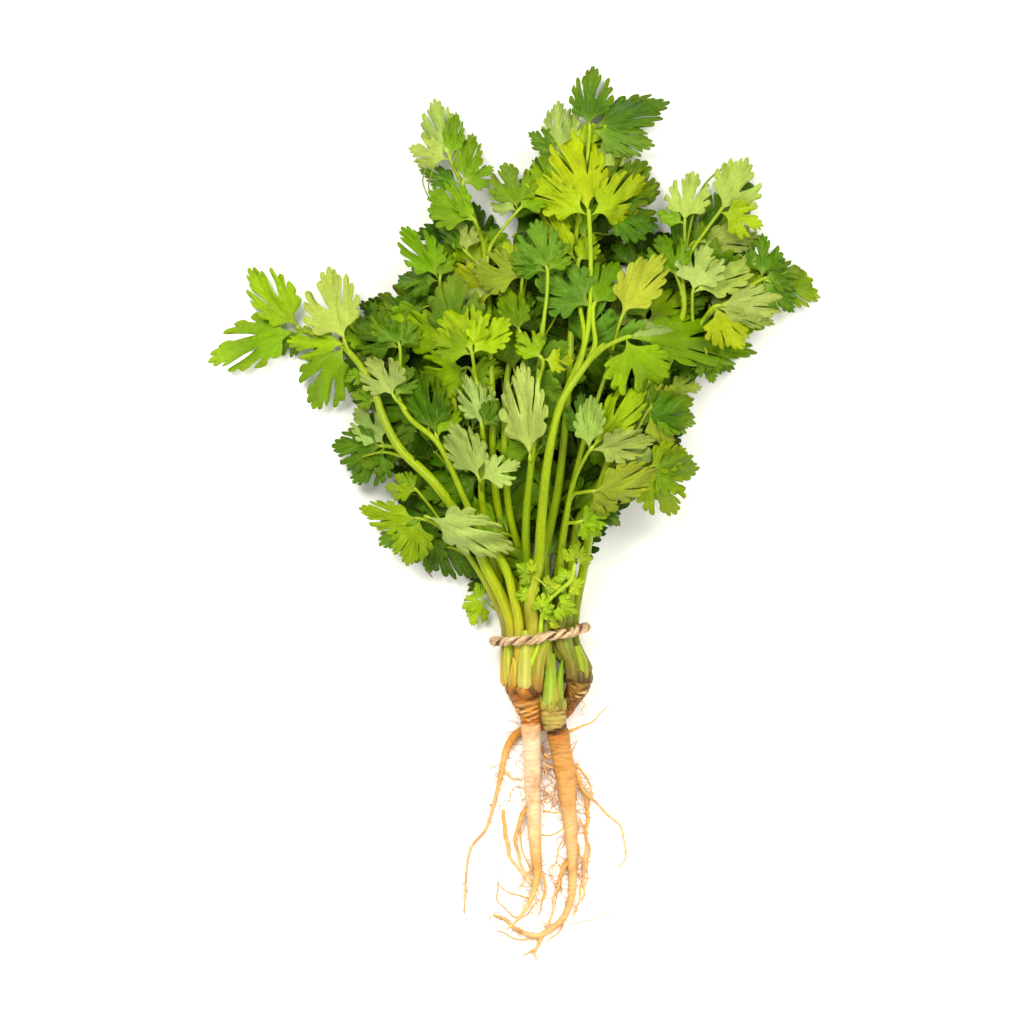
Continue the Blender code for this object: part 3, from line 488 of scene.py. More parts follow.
# %% One skin for many patches
class Skin:
    """Gathers patches of faces with a colour, and a distance to a vein, for each point."""

    def __init__(self):
        self.points, self.faces, self.tints, self.total, self.start = [], [], [], 0, 0

    def patch(self, points, faces, tints):
        self.start = self.total
        self.points.append(points)
        if tints.shape[1] == 3:
            tints = np.concatenate([tints, np.ones((len(tints), 1))], axis=1)
        self.tints.append(tints)
        self.total += len(points)
        self.quads(faces)

    def quads(self, faces):
        """More faces, three or four cornered, between the last patch's points."""
        self.faces.append(faces + self.start)

    def finish(self, name, material, slot, *nodes):
        """Make the piece, and let it stand for the solids that are named."""
        points = to_frame(np.concatenate(self.points)).astype(np.float32)
        corners = np.concatenate([faces.ravel() for faces in self.faces]).astype(np.int32)
        sides = np.concatenate([np.full(len(faces), faces.shape[1]) for faces in self.faces])
        mesh = bpy.data.meshes.new(name)
        mesh.vertices.add(len(points))
        mesh.vertices.foreach_set("co", points.ravel())
        mesh.loops.add(len(corners))
        mesh.loops.foreach_set("vertex_index", corners)
        mesh.polygons.add(len(sides))
        starts = np.concatenate([[0], np.cumsum(sides)[:-1]]).astype(np.int32)
        mesh.polygons.foreach_set("loop_start", starts)
        mesh.update(calc_edges=True)
        tint = mesh.attributes.new("tint", "FLOAT_COLOR", "POINT")
        tint.data.foreach_set("color", np.concatenate(self.tints).astype(np.float32).ravel())
        mesh.materials.append(material)
        piece = bpy.data.objects.new(name, mesh)
        bpy.context.scene.collection.objects.link(piece)
        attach(piece, "root")
        if nodes:
            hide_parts(*nodes)
        print(f"{name}: {int((sides - 2).sum())} triangles")
        return piece


def paint(red, green, blue):
    """A colour on the usual 0 to 255 scale, as the linear values that shaders take."""
    shares = np.array([red, green, blue]) / 255
    return np.where(shares <= 0.04045, shares / 12.92, ((shares + 0.055) / 1.055) ** 2.4)


def blend(stops, places):
    """Colours at places along a line, from stops of (place, colour) in rising order."""
    at = [stop[0] for stop in stops]
    return np.stack([np.interp(places, at, [stop[1][k] for stop in stops])
                     for k in range(3)], axis=-1)


print("leaf green in linear values:", np.round(paint(90, 145, 20), 3))

# %% Smooth lines
def curve_between(a, b, c, d, count):
    """Points of a smooth curve from b, up to but without c, that goes on from a and to d."""
    t = (np.arange(count) / count)[:, None]
    return 0.5 * (2 * b + (c - a) * t + (2 * a - 5 * b + 4 * c - d) * t ** 2
                  + (3 * b - 3 * c + d - a) * t ** 3)


def smooth_line(corners, step):
    """A smooth line through corner points, and where each point lies among the corners."""
    corners = np.asarray(corners, float)
    ends = np.concatenate([[2 * corners[0] - corners[1]], corners,
                           [2 * corners[-1] - corners[-2]]])
    points, places = [], []
    for index in range(len(corners) - 1):
        span = np.linalg.norm(corners[index + 1] - corners[index])
        count = max(2, int(span / step))
        points.append(curve_between(*ends[index:index + 4], count))
        places.append(index + np.arange(count) / count)
    points.append(corners[-1:])
    places.append([len(corners) - 1])
    return np.concatenate(points), np.concatenate(places)


def run_of(line):
    """Distance walked along a line at each of its points."""
    return np.concatenate([[0], np.cumsum(np.linalg.norm(np.diff(line, axis=0), axis=1))])


print("a line through three corners has", len(smooth_line([(0, 0, 0), (9, 0, 0), (9, 9, 0)],
                                                           1.0)[0]), "points")

# %% Rings round a line, and the faces between them
def square_to(ahead, up):
    """Two directions square to each step ahead, the second one nearest to up."""
    ahead = ahead / np.maximum(np.linalg.norm(ahead, axis=1), 1e-9)[:, None]
    above = up - ahead * (ahead @ up)[:, None]
    above /= np.maximum(np.linalg.norm(above, axis=1), 1e-9)[:, None]
    return np.cross(ahead, above), above


def sides_of(line, up):
    return square_to(np.gradient(line, axis=0), up)


def ring_angles(count):
    return np.arange(count) * 2 * np.pi / count


def rings_round(line, sides, radii, tall=1.0):
    """A ring of points round each point of a line, with a radius for each ring and side."""
    turn = ring_angles(radii.shape[1])
    side, above = sides
    ring = (side[:, None, :] * np.cos(turn)[None, :, None]
            + above[:, None, :] * np.sin(turn)[None, :, None] * tall)
    return (line[:, None, :] + ring * radii[:, :, None]).reshape(-1, 3)


def sweep(line, radii, around, up=(0.0, 0.0, 1.0), tall=1.0):
    """Rings of points along a line. radii is one number for each ring, or ring by side."""
    radii = np.asarray(radii, float)
    if radii.ndim == 1:
        radii = np.repeat(radii[:, None], around, axis=1)
    tall = np.broadcast_to(np.asarray(tall, float), len(line))[:, None, None]
    return rings_round(line, sides_of(line, np.array(up, float)), radii, tall)


def grid_faces(rings, around, whole=True, closed=False):
    """Faces between rings of points. whole joins each ring's ends, closed the line's."""
    row, side = np.meshgrid(np.arange(rings - (not closed)), np.arange(around - (not whole)),
                            indexing="ij")
    ahead, beside = (row + 1) % rings, (side + 1) % around
    return np.stack([row * around + side, row * around + beside, ahead * around + beside,
                     ahead * around + side], axis=-1).reshape(-1, 4)


def strip(one, other):
    """Faces between two rows of points, given by their numbers."""
    return np.stack([one[:-1], one[1:], other[1:], other[:-1]], axis=-1)


def sweep_faces(rings, around):
    """Faces of a sweep, with both ends closed by strips across the ring."""
    near = np.arange(around // 2)
    cap = strip(near, around - 1 - near)[:, [0, 3, 2, 1]]
    return np.concatenate([grid_faces(rings, around), cap,
                           cap[:, ::-1] + (rings - 1) * around])


print("faces of a tube of 5 rings of 8:", len(sweep_faces(5, 8)))

# %% [markdown]
# ## Finishes
# Every finish starts from the colour that the points carry, and adds what is finer than the
# points: mottling from noise, cells from a Voronoi pattern, and a bump from both. Leaves also
# let light through, so a translucent shader is mixed in.

# %% A helper for finishes
class Finish:
    """Builds a Principled material node by node."""

    def __init__(self, name, roughness, specular=0.5):
        self.material = bpy.data.materials.new(name)
        self.material.use_nodes = True
        self.tree = self.material.node_tree
        self.shader = self.tree.nodes["Principled BSDF"]
        self.shader.inputs["Roughness"].default_value = roughness
        self.shader.inputs["Specular IOR Level"].default_value = specular
        self.place = self.tree.nodes.new("ShaderNodeTexCoord").outputs["Object"]
        tint = self.tree.nodes.new("ShaderNodeAttribute")
        tint.attribute_name = "tint"
        self.colour, self.vein = tint.outputs["Color"], tint.outputs["Alpha"]

    def node(self, kind, output, inputs, **settings):
        """Add a node, link or set its inputs, and give one of its outputs."""
        node = self.tree.nodes.new("ShaderNode" + kind)
        for name, value in settings.items():
            setattr(node, name, value)
        for socket, value in inputs.items():
            if isinstance(value, bpy.types.NodeSocket):
                self.tree.links.new(value, node.inputs[socket])
            else:
                node.inputs[socket].default_value = value
        return node.outputs[output]

    def stretched(self, scale):
        """The object's coordinates, multiplied so that a pattern is finer one way."""
        return self.node("Mapping", "Vector", {"Vector": self.place, "Scale": scale})

    def noise(self, scale, detail=3.0, where=None):
        return self.node("TexNoise", "Fac", {"Vector": where or self.place, "Scale": scale,
                                             "Detail": detail})

    def cells(self, scale):
        """Distance to the edge of small cells, as between the finest veins."""
        return self.node("TexVoronoi", "Distance", {"Vector": self.place, "Scale": scale},
                         feature="DISTANCE_TO_EDGE")

    def remap(self, value, low, high, to_low, to_high):
        return self.node("MapRange", "Result", {"Value": value, "From Min": low,
                         "From Max": high, "To Min": to_low, "To Max": to_high})

    def shade(self, value, *ranges):
        """Multiply the colour by a value at each point, once it is in range."""
        self.colour = self.node("VectorMath", "Vector", {0: self.colour,
                                "Scale": self.remap(value, *ranges)}, operation="SCALE")

    def tinge(self, colour, value, *ranges):
        """Mix a second colour in, as far as the value says."""
        self.colour = self.node("Mix", "Result", {"A": self.colour, "B": (*colour, 1.0),
                                "Factor": self.remap(value, *ranges)}, data_type="RGBA")

    def bump(self, value, height, strength, *before):
        inputs = {"Height": value, "Strength": strength, "Distance": height * MM}
        return self.node("Bump", "Normal", {**inputs, **{"Normal": old for old in before}})

    def done(self, normal, through=0.0):
        """Wire the colour up, and let some light through if asked."""
        self.tree.links.new(self.colour, self.shader.inputs["Base Color"])
        self.tree.links.new(normal, self.shader.inputs["Normal"])
        if through:
            glow = self.node("BsdfTranslucent", "BSDF", {"Color": self.colour})
            both = self.node("MixShader", "Shader", {"Fac": through, 2: glow,
                                                     1: self.shader.outputs["BSDF"]})
            self.tree.links.new(both, self.tree.nodes["Material Output"].inputs["Surface"])
        print("finish:", self.material.name)
        return self.material


# %% Leaf, stalk, root and cord
VEIN_PALE = paint(190, 208, 84)


def leaf_finish():
    made = Finish("coriander_leaf", 0.44, specular=0.14)
    made.tinge(VEIN_PALE, made.vein, 0.04, 0.26, 0.24, 0.0)
    made.shade(made.noise(70), 0.3, 0.7, 0.84, 1.14)
    made.shade(made.noise(600), 0.3, 0.7, 0.92, 1.07)
    net = made.cells(750)
    made.shade(net, 0.0, 0.12, 1.10, 0.98)
    made.tree.links.new(made.remap(made.noise(110), 0.3, 0.7, 0.36, 0.54),
                        made.shader.inputs["Roughness"])
    normal = made.bump(made.remap(net, 0.0, 0.2, 0.0, 1.0), 0.10, 0.35)
    normal = made.bump(made.noise(260), 0.5, 0.30, normal)
    normal = made.bump(made.remap(made.vein, 0.0, 0.9, 0.0, 1.0), 0.22, 0.8, normal)
    return made.done(normal, through=0.38)


def stalk_finish():
    made = Finish("coriander_stalk", 0.34, specular=0.24)
    streaks = made.noise(900, 2.0, made.stretched((1.0, 0.06, 1.0)))
    made.shade(streaks, 0.3, 0.7, 0.88, 1.10)
    made.shade(made.noise(55), 0.3, 0.7, 0.90, 1.08)
    return made.done(made.bump(streaks, 0.25, 0.35), through=0.10)


def root_finish():
    made = Finish("coriander_root", 0.55, specular=0.2)
    rings = made.noise(420, 4.0, made.stretched((0.22, 1.0, 0.22)))
    made.shade(rings, 0.3, 0.7, 0.88, 1.08)
    made.tinge(paint(170, 100, 30), made.noise(160), 0.54, 0.72, 0.0, 0.6)
    return made.done(made.bump(made.noise(900), 0.2, 0.3, made.bump(rings, 0.5, 0.4)))


def straw_finish():
    made = Finish("straw_cord", 0.62)
    made.shade(made.noise(900), 0.35, 0.65, 0.78, 1.12)
    return made.done(made.bump(made.noise(1500), 0.15, 0.4))


LEAF, STALK, ROOT, STRAW = leaf_finish(), stalk_finish(), root_finish(), straw_finish()

# %% [markdown]
# ## One leaflet
# A coriander leaflet is a flat fan on a narrow foot: a middle lobe and two side lobes, cut
# apart about half way, with shallow rounded teeth on each. Two outlines are drawn for a
# leaflet one unit long, a full one for large leaves and a simpler one for small leaves, and
# smoothed into curves. Opening or closing the side lobes and nudging the corners keeps the
# leaves from looking stamped. Veins run from the foot to the teeth, and each point of a
# leaflet knows how far it is from one.

# %% Outlines and veins of a leaflet, for a length of one
FULL_HALF = (
    (0, 0), (0.024, 0.08), (0.07, 0.15), (0.15, 0.205), (0.27, 0.235), (0.38, 0.255),
    (0.465, 0.285), (0.49, 0.335), (0.465, 0.375), (0.420, 0.392), (0.475, 0.415),
    (0.535, 0.445), (0.57, 0.50), (0.555, 0.55), (0.51, 0.565), (0.455, 0.545),
    (0.375, 0.480), (0.425, 0.56), (0.480, 0.62), (0.50, 0.68), (0.465, 0.72),
    (0.415, 0.715), (0.378, 0.680), (0.400, 0.75), (0.400, 0.81), (0.365, 0.845),
    (0.320, 0.83), (0.285, 0.78), (0.235, 0.65), (0.135, 0.46), (0.165, 0.59),
    (0.200, 0.69), (0.245, 0.76), (0.255, 0.82), (0.225, 0.86), (0.180, 0.85),
    (0.148, 0.810), (0.170, 0.87), (0.165, 0.93), (0.130, 0.96), (0.092, 0.945),
    (0.066, 0.900), (0.060, 0.96), (0.035, 1.00), (0.0, 1.01))
SMALL_HALF = (
    (0, 0), (0.025, 0.09), (0.08, 0.17), (0.19, 0.235), (0.33, 0.28), (0.44, 0.34),
    (0.465, 0.41), (0.43, 0.46), (0.365, 0.462), (0.43, 0.52), (0.475, 0.59),
    (0.46, 0.66), (0.405, 0.68), (0.342, 0.645), (0.36, 0.72), (0.335, 0.785),
    (0.28, 0.79), (0.232, 0.73), (0.11, 0.50), (0.15, 0.65), (0.205, 0.76),
    (0.215, 0.83), (0.175, 0.865), (0.122, 0.830), (0.14, 0.91), (0.11, 0.955),
    (0.065, 0.94), (0.0, 1.01))
FULL_VEINS = (
    ((0, 0.10), (0.10, 0.24), (0.25, 0.37), (0.50, 0.52)),
    ((0.08, 0.205), (0.22, 0.27), (0.44, 0.35)),
    ((0.16, 0.30), (0.29, 0.47), (0.44, 0.69)),
    ((0.16, 0.30), (0.23, 0.50), (0.31, 0.80)))
SMALL_VEINS = (
    ((0, 0.12), (0.10, 0.27), (0.23, 0.45), (0.40, 0.67)),
    ((0.06, 0.21), (0.20, 0.32), (0.39, 0.41)),
    ((0.16, 0.35), (0.20, 0.55), (0.225, 0.74)))
MIDDLE_VEINS = (
    ((0, 0.0), (0, 0.30), (0, 0.60), (0, 0.97)),
    ((0, 0.46), (0.08, 0.62), (0.22, 0.86)), ((0, 0.66), (0.05, 0.80), (0.10, 0.93)))
FULL = (FULL_HALF, FULL_VEINS, slice(3, 29))     # with the side lobe's part of the outline
SMALL = (SMALL_HALF, SMALL_VEINS, slice(3, 18))
print("corners round a full leaflet:", 2 * len(FULL_HALF) - 2)

# %% Open the lobes, nudge the outline and smooth it
LOBE_FOOT = np.array((0.07, 0.20))


def opened(points, opening):
    """Points of a side lobe, turned about its foot."""
    turn = np.array(((math.cos(opening), -math.sin(opening)),
                     (math.sin(opening), math.cos(opening))))
    return LOBE_FOOT + (points - LOBE_FOOT) @ turn


def leaflet_side(kind, draw):
    """One half of an outline and its veins, as a real leaflet might have them."""
    half, veins, lobe = kind
    corners = np.array(half, float)
    opening, wide = draw.uniform(-0.06, 0.20), draw.uniform(0.80, 1.08)
    corners[lobe] = opened(corners[lobe], opening)
    nudge = [(draw.uniform(-0.012, 0.012), draw.uniform(-0.014, 0.014)) for _ in half]
    corners[1:-1] += np.array(nudge)[1:-1]
    veins = [opened(np.array(line, float), opening * 0.8) for line in veins]
    veins += [np.array(line, float) for line in MIDDLE_VEINS]
    return corners * (wide, 1), [line * (wide, 1) for line in veins]


def leaflet_outline(right, left, per_corner):
    """A closed curve through the corners of both halves, foot first."""
    corners = np.concatenate([right, left[-2:0:-1] * (-1, 1)])
    four = [np.roll(corners, -step, axis=0) for step in (-1, 0, 1, 2)]
    return np.concatenate([curve_between(*row, per_corner) for row in zip(*four)])


def far_from(points, line):
    """Distance of each point from a line of straight pieces."""
    best = np.full(len(points), 9.0)
    for a, b in zip(line, line[1:]):
        ahead = b - a
        share = np.clip(((points - a) @ ahead) / (ahead @ ahead), 0, 1)
        best = np.minimum(best, np.linalg.norm(points - a - share[:, None] * ahead, axis=1))
    return best


print("an outline's curve has", len(leaflet_outline(np.array(FULL_HALF), np.array(FULL_HALF), 3)),
      "points")

# %% Fill it with triangles
VEIN_HALF = 0.010                # half a vein's width, for a leaflet of length one


def sown(outline, veins, spacing):
    """Points inside an outline: staggered rows, and three rows along every vein."""
    points = np.array([(x, y) for row, y in enumerate(np.arange(spacing / 2, 1, spacing * 0.87))
                       for x in np.arange(-0.7 + spacing / 2 * (row % 2), 0.7, spacing)])
    for line in veins:
        steps = np.linspace(0, len(line) - 1, max(3, int(0.9 / spacing)))
        along = np.stack([np.interp(steps, range(len(line)), line[:, k])
                          for k in range(2)], axis=1)
        ahead = np.gradient(along, axis=0)
        beside = ahead[:, ::-1] * (1, -1) / np.linalg.norm(ahead, axis=1)[:, None] * VEIN_HALF
        points = np.concatenate([points[far_from(points, along) > spacing * 0.35],
                                 along, along + beside, along - beside])
    closed = np.concatenate([outline, outline[:1]])
    return points[far_from(points, closed) > spacing * 0.33]


class Pattern:
    """A flat leaflet of length one: its points, triangles, edge and distance to a vein."""

    def __init__(self, seed, kind, spacing, per_corner):
        draw = random.Random(seed)
        right, veins = leaflet_side(kind, draw)
        left, mirrored = leaflet_side(kind, draw)
        outline = leaflet_outline(right, left, per_corner)
        veins = veins + [line * (-1, 1) for line in mirrored]
        points = np.concatenate([outline, sown(outline, veins, spacing)])
        made = delaunay_2d_cdt([Vector(point) for point in points], [],
                               [list(range(len(outline)))], 1, 1e-5)
        self.points = np.array([tuple(point) for point in made[0]])
        self.faces = np.array([tuple(face) for face in made[2]])
        a, b, c = (self.points[self.faces[:, k]] for k in range(3))
        turn = (b - a)[:, 0] * (c - a)[:, 1] - (b - a)[:, 1] * (c - a)[:, 0]
        self.faces = np.where(turn[:, None] > 0, self.faces, self.faces[:, ::-1])
        used = np.unique(self.faces)
        new_index = np.full(len(self.points), -1)
        new_index[used] = np.arange(len(used))
        self.points, self.faces = self.points[used], new_index[self.faces]
        self.edge = self.open_edges()
        self.vein = np.min([far_from(self.points, line) for line in veins], axis=0)

    def open_edges(self):
        """Edges with a triangle on one side only, in that triangle's own direction."""
        ends = np.concatenate([self.faces[:, [0, 1]], self.faces[:, [1, 2]],
                               self.faces[:, [2, 0]]])
        key = np.sort(ends, axis=1)
        _, first, count = np.unique(key, axis=0, return_index=True, return_counts=True)
        return ends[first[count == 1]]


print("a vein is", 2 * VEIN_HALF, "of its leaflet's length wide")

# %% Three sets of patterns
FINE = [Pattern(seed, FULL, 0.070, 3) for seed in range(9)]
MIDDLING = [Pattern(20 + seed, SMALL, 0.082, 4) for seed in range(6)]
PLAIN = [Pattern(30 + seed, SMALL, 0.13, 2) for seed in range(6)]
FULL_FROM = 19.0                 # millimetres; shorter leaflets have fewer fingers
print("triangles in a fine leaflet:", len(FINE[0].faces), "in a plain one:",
      len(PLAIN[0].faces))

# %% Tones of the leaves
# the darkest tone, i, is painted shade for leaves deep in the heap
TONES = {letter: (paint(*upper), paint(*lower)) for letter, upper, lower in (
    ("d", (72, 114, 0), (106, 140, 34)), ("m", (106, 146, 0), (132, 162, 44)),
    ("b", (136, 172, 0), (150, 182, 46)), ("y", (162, 186, 8), (172, 194, 54)),
    ("u", (98, 140, 30), (118, 150, 54)), ("w", (180, 188, 54), (196, 198, 90)),
    ("o", (142, 162, 40), (152, 170, 60)), ("i", (44, 76, 0), (80, 108, 18)))}
PALE_BELOW = paint(164, 187, 88)
THICKET, DENSE, RIM = (10.0, 95.0), 50.0, 100.0  # its middle, and how far it and the rim are
# painted light: leaves towards the bunch's rim are painted lighter, yellower and a little bluer
PAINTED_RIM_LIGHT = np.array((0.34, 0.26, 0.0))
PAINTED_RIM_BLUE = np.array((0.0, 0.0, 0.006))
# a step lighter for deep letters at the rim, where less shade is painted
BRIGHTER = {"i": "d", "d": "m", "m": "b"}
BRIGHTEST = paint(180, 196, 120)
YELLOWED = paint(196, 186, 26)


def out_of_thicket(node):
    """How far out a leaf grows, from 0 in the thicket to 1 at the rim of the bunch."""
    return float(smooth_step(DENSE, RIM, math.dist(node[:2], THICKET)))


# deep leaves carry dark letters as painted shade; at the rim less of it is painted
def brightened(tones, node):
    """The letters of a deep leaf, a step brighter where it reaches the rim."""
    if out_of_thicket(node) < 0.4:
        return tones
    return "".join(BRIGHTER.get(letter, letter) for letter in tones)


def leaf_tones(letter, rim, draw):
    """Upper and lower colour of a leaflet. The letter p means its pale side is up."""
    upper, lower = (PALE_BELOW, TONES["m"][0]) if letter == "p" else TONES[letter]
    lightness = draw.uniform(0.84, 1.18)
    warmth = np.array([draw.uniform(0.92, 1.10), 1.0, draw.uniform(0.8, 1.2)])
    # painted light: the upper side is painted lighter and yellower towards the rim
    rim_light = rim * (0.3 if letter == "p" else 1.0)
    upper = upper * lightness * warmth * (1 + PAINTED_RIM_LIGHT * rim_light) + PAINTED_RIM_BLUE * rim
    return np.minimum(upper, BRIGHTEST), lower * lightness


print("tones:", len(TONES))

# %% Bend a pattern into a leaflet
THIN = 0.14                      # half a blade's thickness
BROAD = 1.12                     # a pattern's width, as a share of its length


def buckle(x, y, length, draw):
    """A fold along the rib, lobes and tip that curl on their own, and ruffled edges."""
    rib = np.sqrt(x * x + 0.0016) - 0.04
    right, left = smooth_step(0.05, 0.6, x), smooth_step(0.05, 0.6, -x)
    tip = smooth_step(0.4, 1.05, y) * (1 - right) * (1 - left)
    lift = (draw.uniform(-0.42, 0.34) * rib + draw.uniform(-0.32, 0.14) * right
            + draw.uniform(-0.32, 0.14) * left + draw.uniform(-0.40, 0.16) * tip)
    outer = smooth_step(0.35, 1.0, np.hypot(x * 1.5, y))
    turn = np.arctan2(x, y + 0.05)
    ruffle = 0.030 * np.sin(draw.uniform(9, 15) * turn + any_phase(draw)) * outer
    waves = sum(0.013 * np.sin(draw.uniform(9, 17) * x + draw.uniform(9, 17) * y
                               + any_phase(draw)) for _ in range(3))
    return length * (lift + ruffle + waves * smooth_step(0.1, 0.5, y))


print("a blade is", 2 * THIN, "mm thick")

# %% Add a leaflet, and a whole leaf
def mix(first, second, share):
    return first + (second - first) * share


def normals_of(points, faces):
    """The way up at each point of a surface of triangles."""
    a, b, c = (points[faces[:, k]] for k in range(3))
    found = np.zeros_like(points)
    for k in range(3):
        np.add.at(found, faces[:, k], np.cross(b - a, c - a))
    return found / np.maximum(np.linalg.norm(found, axis=1), 1e-9)[:, None]


def add_leaflet(skin, pose, heading, length, width, phase, tone, draw, fine):
    """Add one leaflet of a length and width, in millimetres, to a skin."""
    kinds = (FINE if length > FULL_FROM else MIDDLING) if fine else PLAIN
    pattern = draw.choice(kinds)
    x, y = pattern.points[:, 0], pattern.points[:, 1]
    bow = draw.uniform(-0.16, 0.16)
    across, along = -(x * width / length / BROAD + bow * y * y) * length, y * length
    vein = pattern.vein * length
    quilt = 0.30 * np.minimum(1.0, vein / 1.8) * smooth_step(0.1, 0.4, y)
    lift = quilt + buckle(x, y, length, draw)
    middle = pose.place(heading, along, across, length, phase, lift)
    middle[:, 2] = np.maximum(middle[:, 2], 0.5)
    square = normals_of(middle, pattern.faces)
    upper, lower = leaf_tones(tone, out_of_thicket(pose.node), draw)
    foot = (1 - smooth_step(0.02, 0.30, y))[:, None] * 0.30
    top, low = mix(upper, VEIN_PALE, foot), mix(lower, VEIN_PALE, foot)
    age = draw.choice((0.0, 0.0, 0.07, 0.16))
    top = top + (YELLOWED - top) * age * smooth_step(0.6, 1.0, np.hypot(x * 1.5, y))[:, None]
    count = len(middle)
    near = np.minimum(vein, 3.0)[:, None]
    tints = np.concatenate([np.concatenate([top, near], axis=1),
                            np.concatenate([low, near], axis=1)])
    skin.patch(np.concatenate([middle + square * THIN, middle - square * THIN]),
               np.concatenate([pattern.faces, pattern.faces[:, ::-1] + count]), tints)
    start, end = pattern.edge[:, 0], pattern.edge[:, 1]
    skin.quads(np.stack([end, start, start + count, end + count], axis=-1))


def add_leaf(skin, pose, tones, draw, fine):
    """Add the leaflets of one leaf, side by side round its node."""
    for place, (index, heading, length, width) in enumerate(leaf_order(pose.leaf[3])):
        add_leaflet(skin, pose, heading, length * pose.size * 1.03, width,
                    pose.phase[place], tones[index % len(tones)], draw, fine)


print("patterns to choose from:", len(FINE) + len(MIDDLING) + len(PLAIN))

# %% [markdown]
# ## Leafy stems
# A coriander stem is a ribbed tube, pale where the soil covered it and bright green above.
# It carries thin side stalks, and each of those carries one leaf. Every solid stem is
# replaced by two pieces: the stalks, and the leaves.

# %% Tones of every leaf, stem by stem
# the last eight stems lie deep in the heap, and their dark letters d and i are painted shade
LEAF_TONES = (
    ("mbd", "pbm", "pdd", "m", "m"), ("ddd", "pu", "db"), ("byy", "bbm", "pp", "pd"),
    ("oyb", "yp", "m"), ("pmb", "yyy", "um", "yb"), ("w", "dd"), ("ddu", "ddd", "p", "pd"),
    ("pyp", "oo", "bb"), ("bmb", "omo", "p"), ("pm", "py", "p", "m"),
    ("ddmd", "ppy", "pp", "m", "o"), ("ppm", "dmm", "mm", "pmm", "pd"), ("mdm", "ddd"),
    ("bmb", "p", "dd", "bm"), ("bbb",), ("udm", "by", "p"), ("dmd", "did", "ddi"),
    ("dmd", "mid"), ("idi", "did", "idd"), ("did", "idi", "dd"), ("did", "idi"),
    ("mdi", "did"), ("did", "idi", "dd"), ("did", "idi", "did"))
print("large leaves with tones:", sum(len(leaves) for leaves in LEAF_TONES))

# %% Side stalks
def unit(step):
    return step / np.linalg.norm(step)


def side_stalk(guide, pose):
    """Side stalk from a stem to a leaf: it leaves along the stem and bends to the leaf."""
    node = pose.node
    dense = np.concatenate([guide[i] + (guide[i + 1] - guide[i])
                            * (np.arange(6) / 6)[:, None] for i in range(3, len(guide) - 1)]
                           + [guide[-1:]])
    near = int(np.argmin(np.linalg.norm(dense - node, axis=1)))
    span = np.linalg.norm(dense[near] - node)
    back, walked = near, 0.0
    while back > 0 and walked < span * 0.5 + 3.0:
        walked += np.linalg.norm(dense[back] - dense[back - 1])
        back -= 1
    start = dense[back]
    ahead = unit(dense[min(back + 2, len(dense) - 1)] - start)
    reach = np.linalg.norm(node - start)
    aim = math.degrees(math.atan2(node[1] - start[1], node[0] - start[0]))
    heading, length = min(pose.leaf[3],
                          key=lambda leaflet: abs((leaflet[0] - aim + 180) % 360 - 180))[:2]
    rib = pose.place(heading, np.float64(min(3.0, 0.2 * length)), np.float64(0.0),
                     length, 0.0)
    entry = unit(unit(rib - node) + (node - start) / reach)
    bend_a = start + ahead * (reach * 0.38)
    bend_b = node - entry * (reach * 0.28) - np.array((0, 0, reach * 0.06))
    t = np.linspace(0, 1, 4)[:, None]
    keep = 1 - t
    line = (start * keep ** 3 + bend_a * (3 * keep ** 2 * t) + bend_b * (3 * keep * t ** 2)
            + node * t ** 3)
    return np.concatenate([line, rib[None, :]])


STALK_AROUND = 10
STALK_GREEN, STALK_PALE = paint(144, 168, 22), paint(176, 192, 60)


def bell(value, reach):
    """1 where the value is 0, and next to nothing past twice the reach."""
    return np.exp(-(value / reach) ** 2)


def add_stalk(skin, corners, radius, tone):
    line, places = smooth_line(corners, 1.6)
    share = places / places[-1]
    radii = radius * (1.35 - 0.45 * np.minimum(1, share * 2.5)) * (1 - 0.75 * (share > 0.97))
    turn = ring_angles(STALK_AROUND)
    groove = 1.0 - 0.16 * bell(turn - np.pi / 2, 0.5)
    tints = blend([(0.0, tone), (0.8, tone), (1.0, STALK_PALE)], share)
    skin.patch(sweep(line, radii[:, None] * groove[None, :], STALK_AROUND),
               sweep_faces(len(line), STALK_AROUND), np.repeat(tints, STALK_AROUND, axis=0))


print("the first side stalk is", round(run_of(side_stalk(GUIDES[0], POSES[0, 0]))[-1]),
      "mm long")

# %% Main stems
AROUND = 20
RIBS = 7
INTO_CROWN = 3.4                 # how far the stalks run on into the crown, unseen
SHEATH_TONES = {
    "left": ((204, 160, 70), (170, 170, 22), (148, 170, 0)),
    "middle": ((164, 154, 44), (116, 142, 6), (134, 162, 0)),
    "right": ((134, 116, 38), (124, 136, 16), (138, 160, 0)),
}


def stem_tints(stem, line, draw):
    """Pale at the crown, greener past the tie, with a purplish flush on some."""
    foot, low, high = (paint(*tone) for tone in SHEATH_TONES[stem[0]])
    top = blend([(0, high), (1, STALK_GREEN * draw.uniform(0.85, 1.1))], [1.0])[0]
    y = line[:, 1]
    tints = blend([(-24, foot), (-10, (foot + low) / 2), (6, low), (30, high), (120, top)], y)
    flush = draw.choice((0.0, 0.0, 0.35, 0.55)) * bell(y + 2 - draw.uniform(-8, 14), 12)
    return mix(tints, paint(120, 96, 58), flush[:, None])


